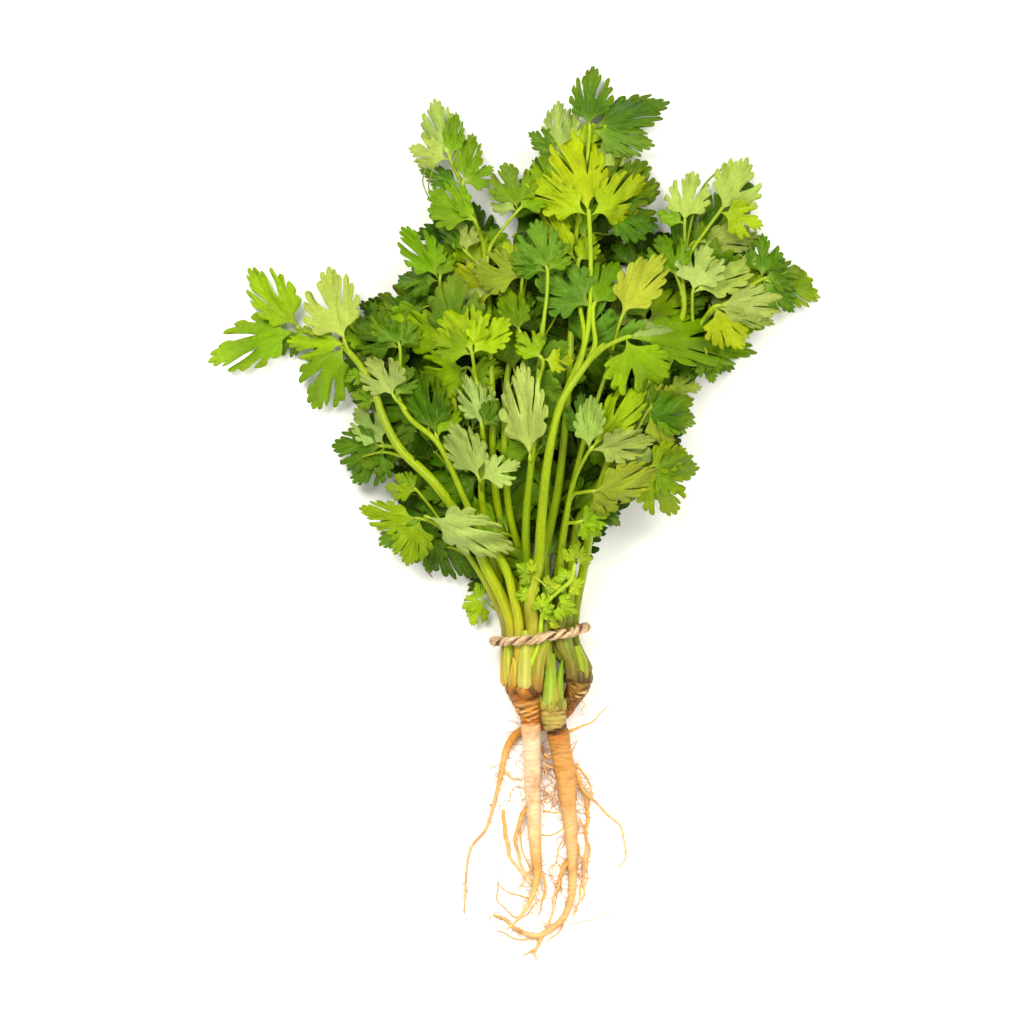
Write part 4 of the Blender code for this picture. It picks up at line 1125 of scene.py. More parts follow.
def add_stem(skin, stem, guide, draw):
    middle, _ = CROWNS[stem[0]]
    guide, inward = guide.copy(), np.array((middle[0], 0.0, middle[2])) - guide[0]
    inward[1] = 0.0
    inside = guide[0] + 0.75 * inward - np.array((0.0, INTO_CROWN, 0.0))
    guide[0] += 0.16 * inward
    line, places = smooth_line(np.concatenate([[inside], guide]), 1.8)
    places = places - 1.0
    corners = len(guide)
    full = STEM_RADIUS * stem[3]
    marks = [full * 0.6, full * 0.95, min(full, 2.35), full]
    marks += [full * (1.0 - 0.62 * step / (corners - 4)) for step in range(1, corners - 3)]
    radii = np.interp(places, np.arange(corners), marks)
    radii = radii * (1 - 0.8 * (places > corners - 1.05))
    turn = ring_angles(AROUND)
    twist = any_phase(draw)
    wander = 0.03 * np.sin(run_of(line) / 17 + twist)
    ribbed = (1 + 0.035 * np.cos(RIBS * (turn[None, :] + twist) + wander[:, None] * 20)
              + wander[:, None] * np.cos(turn[None, :] * 2))
    tall = np.interp(line[:, 1], (-26, -8, 8, 30), (1.25, 1.05, 0.96, 1.0))
    points = sweep(line, radii[:, None] * ribbed, AROUND, tall=tall)
    tints = np.repeat(stem_tints(stem, line, draw), AROUND, axis=0)
    side = np.tile(np.cos(RIBS * (turn + twist)), len(line))
    skin.patch(points, sweep_faces(len(line), AROUND), tints * (1 + 0.06 * side[:, None]))


print("the thickest stem is", round(2 * STEM_RADIUS * max(stem[3] for stem in STEMS), 1), "mm")

# %% [markdown]
# ## Filling the heap
# A real bunch is so dense that the table hardly shows through it. Small leaves of three
# leaflets are added in three layers, tilted every way, and given darker tones the deeper they
# lie, as painted shade. They grow only where the solid stems already cover the table, so that
# the bunch keeps its broken rim. Each is carried by the stem that passes nearest.

# %% What the solids cover
def joined_solids():
    """All the solid stems as one searchable surface."""
    points, faces = [], []
    for number in range(len(STEMS)):
        mesh = frame["nodes"][stem_node(number)].data
        start = len(points)
        points += [vertex.co.copy() for vertex in mesh.vertices]
        faces += [[start + index for index in face.vertices] for face in mesh.polygons]
    return BVHTree.FromPolygons(points, faces)


GAP_REACH = 9.0
CLEARINGS = ((-27, 176, 12), (46, 166, 12), (-78, 103, 10), (-51, 143, 8))  # x, y, radius
COVER = joined_solids()


def covered(x, y):
    """Whether a solid stem hides the table at a place."""
    above = Vector(to_frame((x, y, 150.0)))
    return COVER.ray_cast(above, Vector((0, 0, -1)))[0] is not None


def inside(x, y):
    """Whether a place is covered, or is a small gap with solids on nearly every side."""
    if any(math.hypot(x - mx, y - my) < radius for mx, my, radius in CLEARINGS):
        return False
    if covered(x, y):
        return True
    ring = [math.radians(45 * step) for step in range(8)]
    return sum(covered(x + GAP_REACH * math.cos(a), y + GAP_REACH * math.sin(a))
               for a in ring) >= 6


print("the middle of the heap is covered:", covered(*HEAP_MIDDLE))

# %% Leaves between the large ones
# level, spacing and tone letters of each layer; the deeper layers take darker letters as painted
# shade
LAYERS = ((0.72, 17.0, "mddubdmpup"), (0.48, 13.0, "idddm"), (0.22, 12.0, "iidi"))
TRIES = 2600
SPOTS = ((-85, 95), (30, 215))   # where across and along the table they may grow
SPARSE = 0.6                     # share of the deep leaves left out at the rim
STEEPEST = 0.75
LEAFLET_MARKS = ((0.55, -0.35), (0.9, 0.0), (0.55, 0.35))


def small_leaf(x, y, level, draw):
    """Three leaflets that point roughly away from the tie, cut off where the rim is."""
    aim = math.degrees(math.atan2(y, x)) + draw.uniform(-70, 70)
    spread = draw.uniform(50, 72)
    size = draw.uniform(16.0, 28.0)
    kept = []
    for turn, share in ((0, 1.12), (spread, 1.0), (-spread, 1.0)):
        length = size * share
        marks = [turned(*mark, aim + turn) for mark in LEAFLET_MARKS]
        if all(inside(x + length * dx, y + length * dy) for dx, dy in marks):
            kept.append((aim + turn, length))
    return (x, y, level, tuple(kept))


def small_leaves():
    draw = random.Random(41)
    found = {number: [] for number in range(len(STEMS))}
    for level, apart, tones in LAYERS:
        placed = []
        for _ in range(TRIES):
            x, y = (draw.uniform(*spots) for spots in SPOTS)
            close = any(math.hypot(x - px, y - py) < apart for px, py in placed)
            if close or not inside(x, y):
                continue
            placed.append((x, y))
            rim = out_of_thicket((x, y))
            if draw.random() < rim * SPARSE:
                continue
            height = level * draw.uniform(0.85, 1.1) * (1 - 0.2 * rim)
            leaf = small_leaf(x, y, height, draw)
            if not leaf[3]:
                continue
            pose = Pose(leaf, 0, draw)
            pose.slope = (draw.uniform(-STEEPEST, STEEPEST), draw.uniform(-STEEPEST, STEEPEST))
            far = [np.linalg.norm(guide[HELD_POINTS:] - pose.node, axis=1).min()
                   for guide in GUIDES]
            owner = int(np.argmin(far))
            tone = draw.choice(tones) + draw.choice(tones) + draw.choice(tones)
            found[owner].append((pose, tone))
    print("small leaves:", sum(len(entry) for entry in found.values()))
    return found


SMALL_LEAVES = small_leaves()

# %% Grow them all
DEEP, PALE_FROM = 0.6, 0.8       # how high in the heap a stem runs
SIDE_THICK, SMALL_THICK = 0.36, 0.5
for number, stem in enumerate(STEMS):
    draw = random.Random(700 + number)
    node = stem_node(number)
    stalks, leaves = Skin(), Skin()
    add_stem(stalks, stem, GUIDES[number], draw)
    thin = STEM_RADIUS * stem[3] * SIDE_THICK
    for place in range(len(stem[5])):
        pose = POSES[number, place]
        add_stalk(stalks, side_stalk(GUIDES[number], pose), thin,
                  STALK_GREEN * draw.uniform(0.8, 1.1))
        tones = LEAF_TONES[number][place]
        if stem[2] < DEEP:
            tones = brightened(tones, pose.node)
        add_leaf(leaves, pose, tones, draw, fine=stem[2] > DEEP)
    for pose, tone in SMALL_LEAVES[number]:
        add_stalk(stalks, side_stalk(GUIDES[number], pose), SMALL_THICK, STALK_GREEN * 0.8)
        add_leaf(leaves, pose, brightened(tone, pose.node), draw, fine=False)
    slot = "pale_leaf" if stem[2] > PALE_FROM else "leaf"
    stalks.finish(f"stalks_{number + 1:02d}", STALK, slot, node)
    leaves.finish(f"leaves_{number + 1:02d}", LEAF, slot, node)

# %% [markdown]
# ## Roots
# Each plant stands on one taproot. Its crown is ringed with the scars of old leaf bases and
# brown from the soil, with its raised wrinkles painted cream as painted highlight and its
# furrows and right side darkened as painted shade; below, the root is smooth, cream and
# orange, and forks at its tip. The same lines and radii as the solid roots are drawn through
# smoothly, with the side roots tapered thinner, and root hairs are added: curled tangles
# between the roots, and short ones along the taproots.

# %% Lines of the roots: x, y, z and radius, and their side roots
ROOTS = {
    "root_left": ((
        (-6.8, -20.1, 14.2, 6.7), (-6.8, -21.3, 14.2, 6.9), (-5.9, -24.0, 14.0, 6.5),
        (-4.9, -28, 13.4, 5.4),
        (-4.0, -32.5, 12.4, 4.3), (-3.6, -38, 11.2, 3.9), (-3.2, -44, 9.6, 3.6),
        (-3.0, -55, 7.0, 3.4), (-2.8, -66, 5.2, 3.1), (-2.2, -78, 4.0, 2.7),
        (-1.4, -90, 3.6, 2.2), (-1.0, -96, 3.9, 1.6), (-2.6, -104, 4.4, 1.15),
        (-5.6, -110, 4.9, 0.9), (-9.4, -115, 5.1, 0.7), (-13.5, -118.6, 4.6, 0.45)),
        (((-4.0, -67, 5.2, 1.2), (-9.0, -78, 3.0, 1.1), (-8.6, -90, 2.2, 0.9),
          (-3.6, -98.6, 3.6, 0.8)),
         ((-14.6, -70.6, 1.6, 0.9), (-13.6, -82, 1.4, 1.1), (-10.9, -91, 1.8, 0.9),
          (-3.0, -100.5, 4.0, 0.8)),
         ((-1.0, -93, 3.6, 1.1), (2.2, -101, 3.2, 0.8), (1.2, -108, 3.0, 0.7),
          (-1.2, -114.5, 3.0, 0.6)),
         ((-1.6, -92, 3.6, 1.0), (-5.2, -97, 2.0, 0.7), (-9.4, -103, 1.2, 0.6)))),
    "root_middle": ((
        (5.0, -26.5, 13.2, 4.3), (5.3, -31.5, 13.2, 5.0), (6.0, -35.2, 12.6, 5.0),
        (6.8, -37.2, 12.0, 4.2), (7.4, -40, 10.9, 4.6), (8.8, -48, 8.8, 4.3),
        (10.6, -58, 6.6, 4.0), (11.2, -66, 5.2, 3.4), (12.2, -76, 4.1, 2.8),
        (13.0, -86, 3.3, 2.3), (13.2, -97, 2.6, 1.8), (12.6, -106, 2.1, 1.5),
        (9.4, -114, 1.8, 1.35), (3.6, -119.0, 1.6, 1.2), (-1.6, -121.2, 1.5, 1.1),
        (-9.6, -118.6, 1.3, 0.9), (-14, -114.4, 1.2, 0.75), (-19.2, -112.6, 1.0, 0.5)),
        (((10.5, -39, 10.5, 1.0), (18, -36.4, 6.6, 0.8), (24.4, -31.6, 3.0, 0.7),
          (28, -27.8, 1.2, 0.6)),
         ((11, -50, 8.4, 1.1), (18.8, -63.6, 4.2, 0.9), (26.4, -71.2, 1.6, 0.8),
          (33.4, -79, 1.0, 0.7), (34.4, -89.6, 0.9, 0.6), (31.4, -94, 0.9, 0.6)),
         ((12.5, -56, 6.6, 1.2), (18.2, -64, 2.2, 1.1), (19.0, -76, 1.3, 1.0),
          (18.4, -90, 1.2, 0.9), (17.4, -107, 1.1, 0.6)),
         ((1.8, -119.6, 1.6, 1.1), (-2.0, -127.6, 1.3, 0.9), (-0.6, -131.4, 1.0, 0.6)),
         ((-1.4, -126.4, 1.3, 0.8), (-7.2, -129.4, 1.0, 0.6)),
         ((13.0, -88, 3.2, 1.2), (8.2, -98, 1.6, 1.0), (5.2, -110, 1.3, 0.8),
          (3.2, -118, 1.5, 0.8)))),
    "root_right": ((
        (15.5, -14.9, 13.0, 4.7), (15.5, -16.1, 13.0, 4.9), (15.6, -19.4, 12.2, 4.9),
        (14.2, -23, 9.8, 4.3),
        (12.0, -27.4, 5.8, 3.3), (9.4, -31.8, 3.0, 2.4), (1.0, -36.5, 2.2, 2.0),
        (-7.2, -38.6, 2.0, 1.8), (-11.5, -42.5, 1.9, 1.65), (-14, -48, 1.8, 1.3),
        (-15.6, -56, 1.6, 0.95), (-18.2, -67, 1.4, 0.75), (-21.6, -78, 1.3, 0.62),
        (-28, -86.6, 1.2, 0.52), (-30, -101.6, 1.0, 0.42), (-30.4, -112.4, 0.9, 0.3)),
        (((-15.2, -54, 1.7, 1.0), (-11.2, -57.6, 1.2, 0.7), (-7.6, -58, 1.0, 0.6)),)),
}
print("side roots:", sum(len(sides) for _, sides in ROOTS.values()))

# %% Their colours from the tips up, and the rings of the crowns
ROOT_TONES = {                   # y, and the colour there
    "root_left": ((-120, 218, 184, 132), (-100, 212, 170, 98), (-92, 214, 152, 82),
        (-80, 224, 190, 142), (-60, 226, 196, 160), (-42, 228, 200, 166),
        (-35.6, 220, 176, 126), (-34.7, 170, 90, 30), (-32.5, 196, 114, 30),
        (-29, 200, 132, 46), (-26.5, 196, 132, 62), (-24.5, 166, 98, 30), (-22, 152, 94, 34),
        (-20, 164, 118, 44)),
    "root_middle": ((-130, 216, 174, 120), (-100, 214, 170, 110), (-80, 218, 176, 122),
        (-66, 212, 160, 100), (-52, 202, 146, 80), (-42, 194, 136, 70), (-39, 180, 116, 50),
        (-38.2, 110, 60, 20), (-37.4, 50, 26, 10), (-36.6, 78, 46, 16), (-35.8, 176, 146, 76),
        (-33, 182, 166, 80), (-29, 176, 162, 72), (-26, 152, 142, 50)),
    "root_right": ((-112, 220, 186, 146), (-80, 218, 174, 120), (-50, 210, 160, 96),
        (-41, 196, 134, 56), (-34, 164, 106, 46), (-27, 116, 74, 30), (-22, 126, 84, 40),
        (-19.5, 146, 110, 44), (-18, 152, 124, 46), (-16.5, 122, 86, 34), (-14.5, 142, 122, 46)),
}
RINGS = {                        # where a ring lies, how deep it is and how dark
    "root_left": ((-22.4, 0.35, 0.5), (-24.9, 0.5, 0.55), (-26.0, 0.2, 0.2),
                  (-27.6, 0.4, 0.45), (-28.9, 0.25, 0.3), (-30.4, 0.4, 0.45),
                  (-31.6, 0.25, 0.3), (-32.9, 0.45, 0.6), (-34.2, 0.3, 0.4)),
    "root_middle": ((-29.4, 0.2, 0.25), (-31.8, 0.2, 0.2), (-34.2, 0.35, 0.4),
                    (-35.3, 0.3, 0.35), (-37.4, 0.9, 0.8), (-39.3, 0.3, 0.35),
                    (-40.6, 0.25, 0.3), (-42.1, 0.3, 0.35), (-43.4, 0.2, 0.25),
                    (-45.0, 0.3, 0.3), (-46.8, 0.25, 0.3), (-49.0, 0.25, 0.25),
                    (-51.6, 0.2, 0.2)),
    "root_right": ((-15.9, 0.6, 0.8), (-17.4, 0.6, 0.8), (-19.0, 0.6, 0.75),
                   (-20.6, 0.4, 0.4), (-21.9, 0.35, 0.4), (-23.2, 0.35, 0.4),
                   (-24.6, 0.3, 0.35), (-26.0, 0.3, 0.3), (-27.6, 0.25, 0.3)),
}
RING_WIDTH = 0.42
CROWN_LENGTH = {"root_left": 14.8, "root_middle": 11.2, "root_right": 14.0}
CROWN_ROUGH = {"root_left": 1.0, "root_middle": 0.5, "root_right": 0.8}
TALL_CROWN = 1.28
ROOT_AROUND, SIDE_AROUND, LONG_AROUND, HAIR_AROUND = 44, 12, 8, 4
HAIR_STEP = 0.8
# dark brown for the rings' scars, and for painted shade in the furrows and on each crown's right
# side
DARK_SCARS_AND_SHADE = paint(70, 36, 10)
# painted shade on each crown's right side, the side away from the main light
RIGHT_SIDE_SHADE = {                       # on a crown's right side: place along it, reach, darkness
    "root_left": (-22.4, 2.8, 1.2), "root_middle": (-31.0, 1.6, 0.4),
    "root_right": (-17.0, 2.2, 0.5),
}
print("rings:", sum(len(rings) for rings in RINGS.values()))


# %% Taproots
def waves_of(draw, count, low, high, sides):
    """Numbers for a rough surface: how fast each wave runs, turns and where it starts."""
    return [(draw.uniform(low, high), draw.randint(-sides, sides), any_phase(draw))
            for _ in range(count)]


def roughness_at(waves, run, turn):
    return sum(np.sin(fast * run[:, None] + sides * turn[None, :] + start)
               for fast, sides, start in waves) / len(waves)


def taproot(skin, name, rows, draw):
    """The crown and taproot, ringed, wrinkled across, and mottled."""
    line, _ = smooth_line(rows, 0.34)
    line, radii = line[:, :3], line[:, 3]
    run, y = run_of(line), line[:, 1]
    top = rows[0][1]
    end = top - CROWN_LENGTH[name]
    crown = smooth_step(end - 1.2, end + 1.8, y)
    turn = ring_angles(ROOT_AROUND)
    wrinkles = roughness_at(waves_of(draw, 9, 1.4, 4.6, 3), run, turn)
    lumps = roughness_at(waves_of(draw, 6, 0.15, 0.7, 3), run, turn)
    pits = roughness_at(waves_of(draw, 9, 1.0, 4.0, 9), run, turn)
    wobble = 0.5 * np.sin(2 * turn + any_phase(draw)) + 0.3 * np.sin(
        5 * turn + any_phase(draw))
    notch, dark = np.zeros_like(wrinkles), np.zeros_like(wrinkles)
    for at, deep, dim in RINGS[name]:
        broken = 0.72 + 0.28 * np.sin(3 * turn + at * 7)
        near = bell(y[:, None] - at - wobble[None, :], RING_WIDTH) * broken
        notch += deep * near
        dark += dim * near
    patchy = np.clip(0.5 + 1.6 * roughness_at(waves_of(draw, 7, 0.3, 1.2, 5), run, turn), 0, 1)
    rugged = crown[:, None] * CROWN_ROUGH[name] * patchy
    grain = 0.014 + 0.058 * rugged
    rough = 1 + grain * (wrinkles * 1.6 + pits * 1.2) + 0.045 * lumps
    tall = 1 + (TALL_CROWN - 1) * smooth_step(end, top, y)
    rounded = np.interp(run, (0, 1.2, run[-1] - 0.8, run[-1]), (0.9, 1.0, 1.0, 0.3))
    size = radii[:, None] * rounded[:, None] * rough - notch
    points = sweep(line, size, ROOT_AROUND, tall=tall)
    to_right = (points[:, 0].reshape(size.shape) - line[:, :1]) / size
    # painted shade: a dark patch on the crown's right side
    at, reach, dim = RIGHT_SIDE_SHADE[name]
    dark += dim * (bell(y[:, None] - at + 0.8 * lumps, reach)
                   * smooth_step(-0.3, 0.4, to_right + 0.9 * lumps + 0.5 * pits))
    stops = [(at, paint(*tone)) for at, *tone in ROOT_TONES[name]]
    tints = np.repeat(blend(stops, y)[:, None, :], ROOT_AROUND, axis=1)
    warm = np.clip(0.3 + 1.6 * lumps + 0.8 * pits, 0, 1)[:, :, None] * 0.22
    tints = mix(tints, paint(210, 142, 50), warm)
    # painted highlight: the crown's raised wrinkles are painted cream
    ridge = rugged * np.clip(3.4 * (wrinkles + 0.9 * pits) - 0.3, 0, 1) * 0.75
    tints = mix(tints, paint(246, 214, 150), ridge[:, :, None])
    # painted shade: the furrows between the wrinkles are darkened
    furrow_shade = np.clip(-3.4 * wrinkles - pits * 2.4 - 0.3, 0, 0.85)
    dark = np.clip(dark + (0.2 + 0.8 * rugged) * furrow_shade, 0, 0.9)
    tints = mix(tints, DARK_SCARS_AND_SHADE, dark[:, :, None])
    skin.patch(points, sweep_faces(len(line), ROOT_AROUND), tints.reshape(-1, 3))


print("lengths of the crowns in mm:", list(CROWN_LENGTH.values()))

# %% Side roots and hairs
def finer(radii):
    """Side roots thinner than the solid ones, which can't be thinner than a strong wire."""
    return radii * smooth_step(0.1, 1.7, radii) ** 0.5


def strand(skin, rows, draw, around, wander, foot, tip):
    """A thin root along rows of x, y, z and radius, wandering a little."""
    line, _ = smooth_line(rows, 0.9)
    line, radii = line[:, :3].copy(), line[:, 3]
    run = run_of(line)
    ends = np.minimum(1, np.minimum(run, run[-1] - run) / 4.0)
    for axis in range(2):
        for _ in range(2):
            line[:, axis] += wander * ends * np.sin(run * draw.uniform(0.25, 0.9)
                                                    + any_phase(draw))
    radii = radii * (1 + 0.10 * np.sin(run * 2.3 + draw.uniform(0, 6)))
    radii = radii * np.interp(run, (0, run[-1] - 1.0, run[-1]), (1.0, 0.9, 0.3))
    line[:, 2] = np.maximum(line[:, 2], radii + 0.05)
    tints = np.repeat(blend([(0, foot), (1, tip)], run / run[-1]), around, axis=0)
    mottle = 1 + 0.10 * np.sin(np.repeat(run, around) * 1.7 + draw.uniform(0, 6))
    skin.patch(sweep(line, radii, around), sweep_faces(len(line), around),
               tints * mottle[:, None])


def side_root(skin, rows, draw):
    rows = np.array(rows, float)
    rows[:, 3] = finer(rows[:, 3])
    foot, tip = paint(210, 150, 72), paint(226, 184, 128)
    strand(skin, rows, draw, SIDE_AROUND, 0.22, foot, tip)
    for _ in range(int(run_of(rows[:, :3])[-1] / 3.5)):
        at = draw.randint(1, len(rows) - 1)
        share = draw.random()
        place = rows[at - 1] * (1 - share) + rows[at] * share
        hair(skin, place[:3], draw.uniform(0, 360), draw.uniform(1.5, 5.0), 0.09, draw)


def hair(skin, place, heading, length, radius, draw, curl=0.35, fall=0.12):
    """A root hair that starts at a place and wanders over the table."""
    count = max(4, int(length / HAIR_STEP))
    rows, angle, bend = [], math.radians(heading), draw.uniform(-curl, curl)
    x, y, z = place
    for step in range(count):
        rows.append((x, y, z, radius * (1 - 0.55 * step / count)))
        bend = 0.75 * bend + draw.uniform(-curl, curl) * 0.5
        angle += bend
        x, y = x + HAIR_STEP * math.cos(angle), y + HAIR_STEP * math.sin(angle)
        z = max(0.25, z - fall * draw.uniform(0.2, 2.0))
    tone = draw.choice((paint(194, 122, 42), paint(208, 146, 72), paint(222, 176, 116)))
    strand(skin, rows, draw, HAIR_AROUND, 0.0, tone, tone * 1.06)


print("a side root of radius 1 mm is drawn with", round(float(finer(1.0)), 2), "mm")

# %% Where the hairs grow
TANGLES = (                      # low corner, high corner, count, length, radius, height
    ("root_middle", (0.5, -68), (12.0, -45), 62, (5, 15), 0.17, 6.0),
    ("root_middle", (13.0, -80), (19.5, -54), 46, (4, 12), 0.14, 4.5),
    ("root_middle", (5.0, -112), (18.0, -84), 30, (6, 16), 0.15, 2.5),
    ("root_left", (-20.0, -68), (-5.0, -46), 26, (5, 13), 0.09, 3.0),
    ("root_left", (-14.0, -112), (2.0, -92), 14, (4, 11), 0.12, 3.0),
    ("root_right", (-20.0, -72), (-12.0, -44), 16, (3, 8), 0.10, 2.5),
    ("root_right", (8.0, -36), (20.0, -22), 6, (3, 7), 0.09, 5.0),
)
LONG_HAIRS = {                   # x, y, z and radius along each
    "root_left": (
        ((-2.9, -106.4, 3.8, 0.42), (-12, -103.6, 1.4, 0.3), (-17, -99.8, 0.7, 0.2),
         (-17.6, -93, 0.5, 0.1)),
        ((-17, -99.8, 0.7, 0.2), (-16.5, -107.3, 0.6, 0.28), (-10, -113.4, 0.9, 0.3),
         (-5.2, -112.5, 2.0, 0.3), (-0.6, -106.4, 3.0, 0.35)),
        ((-3.8, -62, 5.0, 0.2), (-6.0, -70, 2.0, 0.2), (-7.5, -76, 1.0, 0.15),
         (-7.0, -81, 0.8, 0.1)),
        ((1.2, -71, 4.0, 0.45), (4.5, -71.4, 4.0, 0.4), (8.5, -71.0, 4.2, 0.42)),
        ((-0.4, -80.5, 3.4, 0.4), (4.0, -81.0, 3.2, 0.36), (8.0, -78.6, 3.6, 0.4),
         (10.5, -74.0, 4.0, 0.45)),
        ((0.0, -94.0, 3.0, 0.35), (2.0, -100, 1.6, 0.3), (0.6, -110, 1.2, 0.22)),
        ((-4.0, -94.0, 2.8, 0.3), (-7.5, -84.0, 1.2, 0.28), (-8.8, -76, 0.9, 0.2)),
    ),
    "root_middle": (
        ((-17.5, -119, 0.5, 0.2), (-12, -121.4, 0.6, 0.3), (-5.3, -122.8, 0.9, 0.34),
         (1.3, -121.0, 1.4, 0.35)),
        ((2.7, -123.8, 0.7, 0.15), (8.8, -117.7, 1.2, 0.3), (12.6, -107.3, 2.2, 0.35)),
        ((12.0, -116, 1.4, 0.2), (18, -115.6, 0.7, 0.13), (25.7, -112.5, 0.4, 0.11),
         (34.6, -113.2, 0.3, 0.07)),
        ((15.4, -96, 2.2, 0.22), (17.3, -97.5, 1.0, 0.2), (21.5, -98.4, 0.6, 0.15)),
        ((13.0, -52, 6.4, 0.5), (18.2, -55.6, 4.0, 0.45), (20.2, -62.0, 2.0, 0.4),
         (20.0, -70.0, 1.4, 0.3)),
        ((15.4, -60, 4.6, 0.14), (24.8, -61.3, 1.0, 0.1), (27.1, -66.9, 0.5, 0.08)),
        ((14.0, -84, 3.0, 0.5), (10.2, -92, 2.0, 0.45), (6.6, -100, 1.2, 0.3)),
        ((15.0, -84, 3.0, 0.4), (17.6, -94, 2.0, 0.4), (16.4, -104, 1.2, 0.35),
         (13.6, -114, 0.9, 0.25)),
        ((15.2, -88, 3.0, 0.35), (13.0, -98, 3.6, 0.35), (12.2, -108, 1.2, 0.25)),
        ((13.4, -74, 4.6, 0.4), (8.6, -84, 2.0, 0.35), (5.6, -93.0, 1.2, 0.25),
         (4.8, -97, 0.9, 0.18)),
        ((16.2, -74, 2.4, 0.35), (19.6, -84, 1.4, 0.35), (19.2, -96, 1.1, 0.3),
         (17.0, -108, 0.8, 0.2)),
        ((9.0, -47, 8.6, 0.6), (4.6, -49.4, 6.4, 0.55), (1.6, -47.6, 7.4, 0.5)),
        ((9.8, -55, 7.0, 0.6), (5.0, -53.6, 6.0, 0.5), (1.0, -51.0, 6.8, 0.4)),
    ),
    "root_right": (
        ((14.0, -26.0, 6.0, 0.16), (18.0, -27.4, 3.0, 0.12), (17.0, -31, 2.0, 0.1),
         (19.6, -34.6, 1.0, 0.07)),
        ((-15.4, -56.4, 1.8, 0.2), (-12, -63.0, 0.8, 0.14), (-14.0, -69, 0.6, 0.1),
         (-17.8, -71, 0.4, 0.07)),
    ),
}
print("long hairs:", sum(len(hairs) for hairs in LONG_HAIRS.values()))


# %% Grow the roots
ROOT_SLOTS = {"root_left": "root_cream", "root_middle": "root_tan",
              "root_right": "root_brown"}
SHORT_HAIRS = 44                 # on each taproot, from this row of its table on:
FIRST_HAIRY = 7


def grow_root(name, seed):
    draw = random.Random(seed)
    rows, sides = ROOTS[name]
    body, hairs = Skin(), Skin()
    taproot(body, name, rows, draw)
    for side in sides:
        side_root(body, side, draw)
    for row in LONG_HAIRS[name]:
        strand(hairs, row, draw, LONG_AROUND, 0.25, paint(206, 142, 64), paint(224, 180, 118))
    for owner, low, high, count, lengths, radius, height in TANGLES:
        if owner != name:
            continue
        for _ in range(count):
            place = (draw.uniform(low[0], high[0]), draw.uniform(low[1], high[1]),
                     draw.uniform(0.4, height))
            hair(hairs, place, draw.uniform(0, 360), draw.uniform(*lengths),
                 radius * draw.uniform(0.6, 1.5), draw, curl=0.55)
    for _ in range(SHORT_HAIRS):
        at = draw.randint(FIRST_HAIRY, len(rows) - 1)
        x, y, z, radius = rows[at]
        heading = draw.choice((180, 0)) + draw.uniform(-50, 50)
        edge = radius * 0.8 * math.cos(math.radians(heading))
        hair(hairs, (x + edge, y + draw.uniform(-4, 4), z), heading - 20,
             draw.uniform(1.0, 6.0), 0.12 * draw.uniform(0.6, 1.4), draw, fall=0.4)
    body.finish(name.replace("root", "taproot"), ROOT, ROOT_SLOTS[name], name)
    hairs.finish(name.replace("root", "hairs"), ROOT, ROOT_SLOTS[name], name)


for seed, name in enumerate(ROOTS):
    grow_root(name, 300 + seed)

# %% [markdown]
# ## Sheaths
# The foot of every coriander stalk widens into a thin sheath that wraps its neighbours. The
# ones on top of the bunch are pale at the crown, and one has dried to brown paper.

# %% Sheaths at the crowns
SHEATHS = (                      # line of x, y and z; width, high and low tones
    (((-10.2, -23.0, 17.8), (-10.4, -17.5, 20.8), (-10.0, -12.4, 22.2), (-10.8, -8.6, 23.0)),
     (2.3, 2.4, 1.7, 0.2), (190, 176, 60), (170, 108, 30)),
    (((-11.6, -22.6, 15.4), (-12.5, -16.0, 18.6), (-12.7, -8.0, 20.4), (-12.6, -2.6, 21.0)),
     (1.8, 2.1, 2.0, 1.4), (150, 176, 30), (224, 180, 90)),
    (((-5.8, -23.0, 19.4), (-6.2, -17.0, 22.8), (-5.9, -10.0, 24.6), (-5.6, -3.8, 24.6),
      (-5.8, 2.0, 24.0)), (2.9, 3.0, 2.7, 2.4, 2.2), (160, 172, 34),
     (206, 190, 110)),
    (((-1.6, -21.8, 18.8), (-1.3, -17.0, 22.4), (-0.4, -10.5, 24.0), (1.2, -5.4, 24.4),
      (2.4, 0.0, 24.2)), (2.8, 2.9, 2.6, 2.3, 2.2), (148, 160, 40),
     (160, 104, 56)),
    (((4.2, -28.5, 16.6), (4.2, -22.0, 19.6), (4.2, -14.0, 21.4), (4.6, -7.0, 22.6)),
     (3.4, 3.0, 2.4, 1.6), (120, 156, 20), (176, 186, 76)),
    (((7.2, -28.5, 15.6), (7.6, -22.0, 17.8), (8.2, -15.0, 19.0), (9.2, -9.0, 20.4)),
     (2.4, 2.0, 1.3, 0.3), (110, 146, 14), (160, 172, 50)),
    (((13.6, -16.6, 17.4), (12.6, -10.4, 19.6), (10.8, -4.6, 22.2), (9.6, 1.0, 23.2)),
     (3.2, 3.0, 2.6, 2.2), (124, 144, 30), (120, 84, 50)),
    (((17.2, -16.6, 16.6), (16.4, -10.4, 18.8), (14.4, -4.0, 20.2)),
     (2.8, 2.6, 1.6), (140, 166, 30), (150, 140, 46)),
)
SCALES = {                       # count, reach, high and low tones, shade on the right
    "left": (9, 7.0, (200, 140, 58), (156, 84, 26), 0.3),
    "middle": (6, 5.2, (164, 168, 56), (174, 150, 60), 0.7),
    "right": (6, 5.2, (130, 116, 44), (94, 62, 28), 0.7),
}
print("sheaths:", len(SHEATHS), "scales:", sum(row[0] for row in SCALES.values()))

# %% One sheath
SHEATH_AROUND, SHEATH_WALL = 13, 0.32


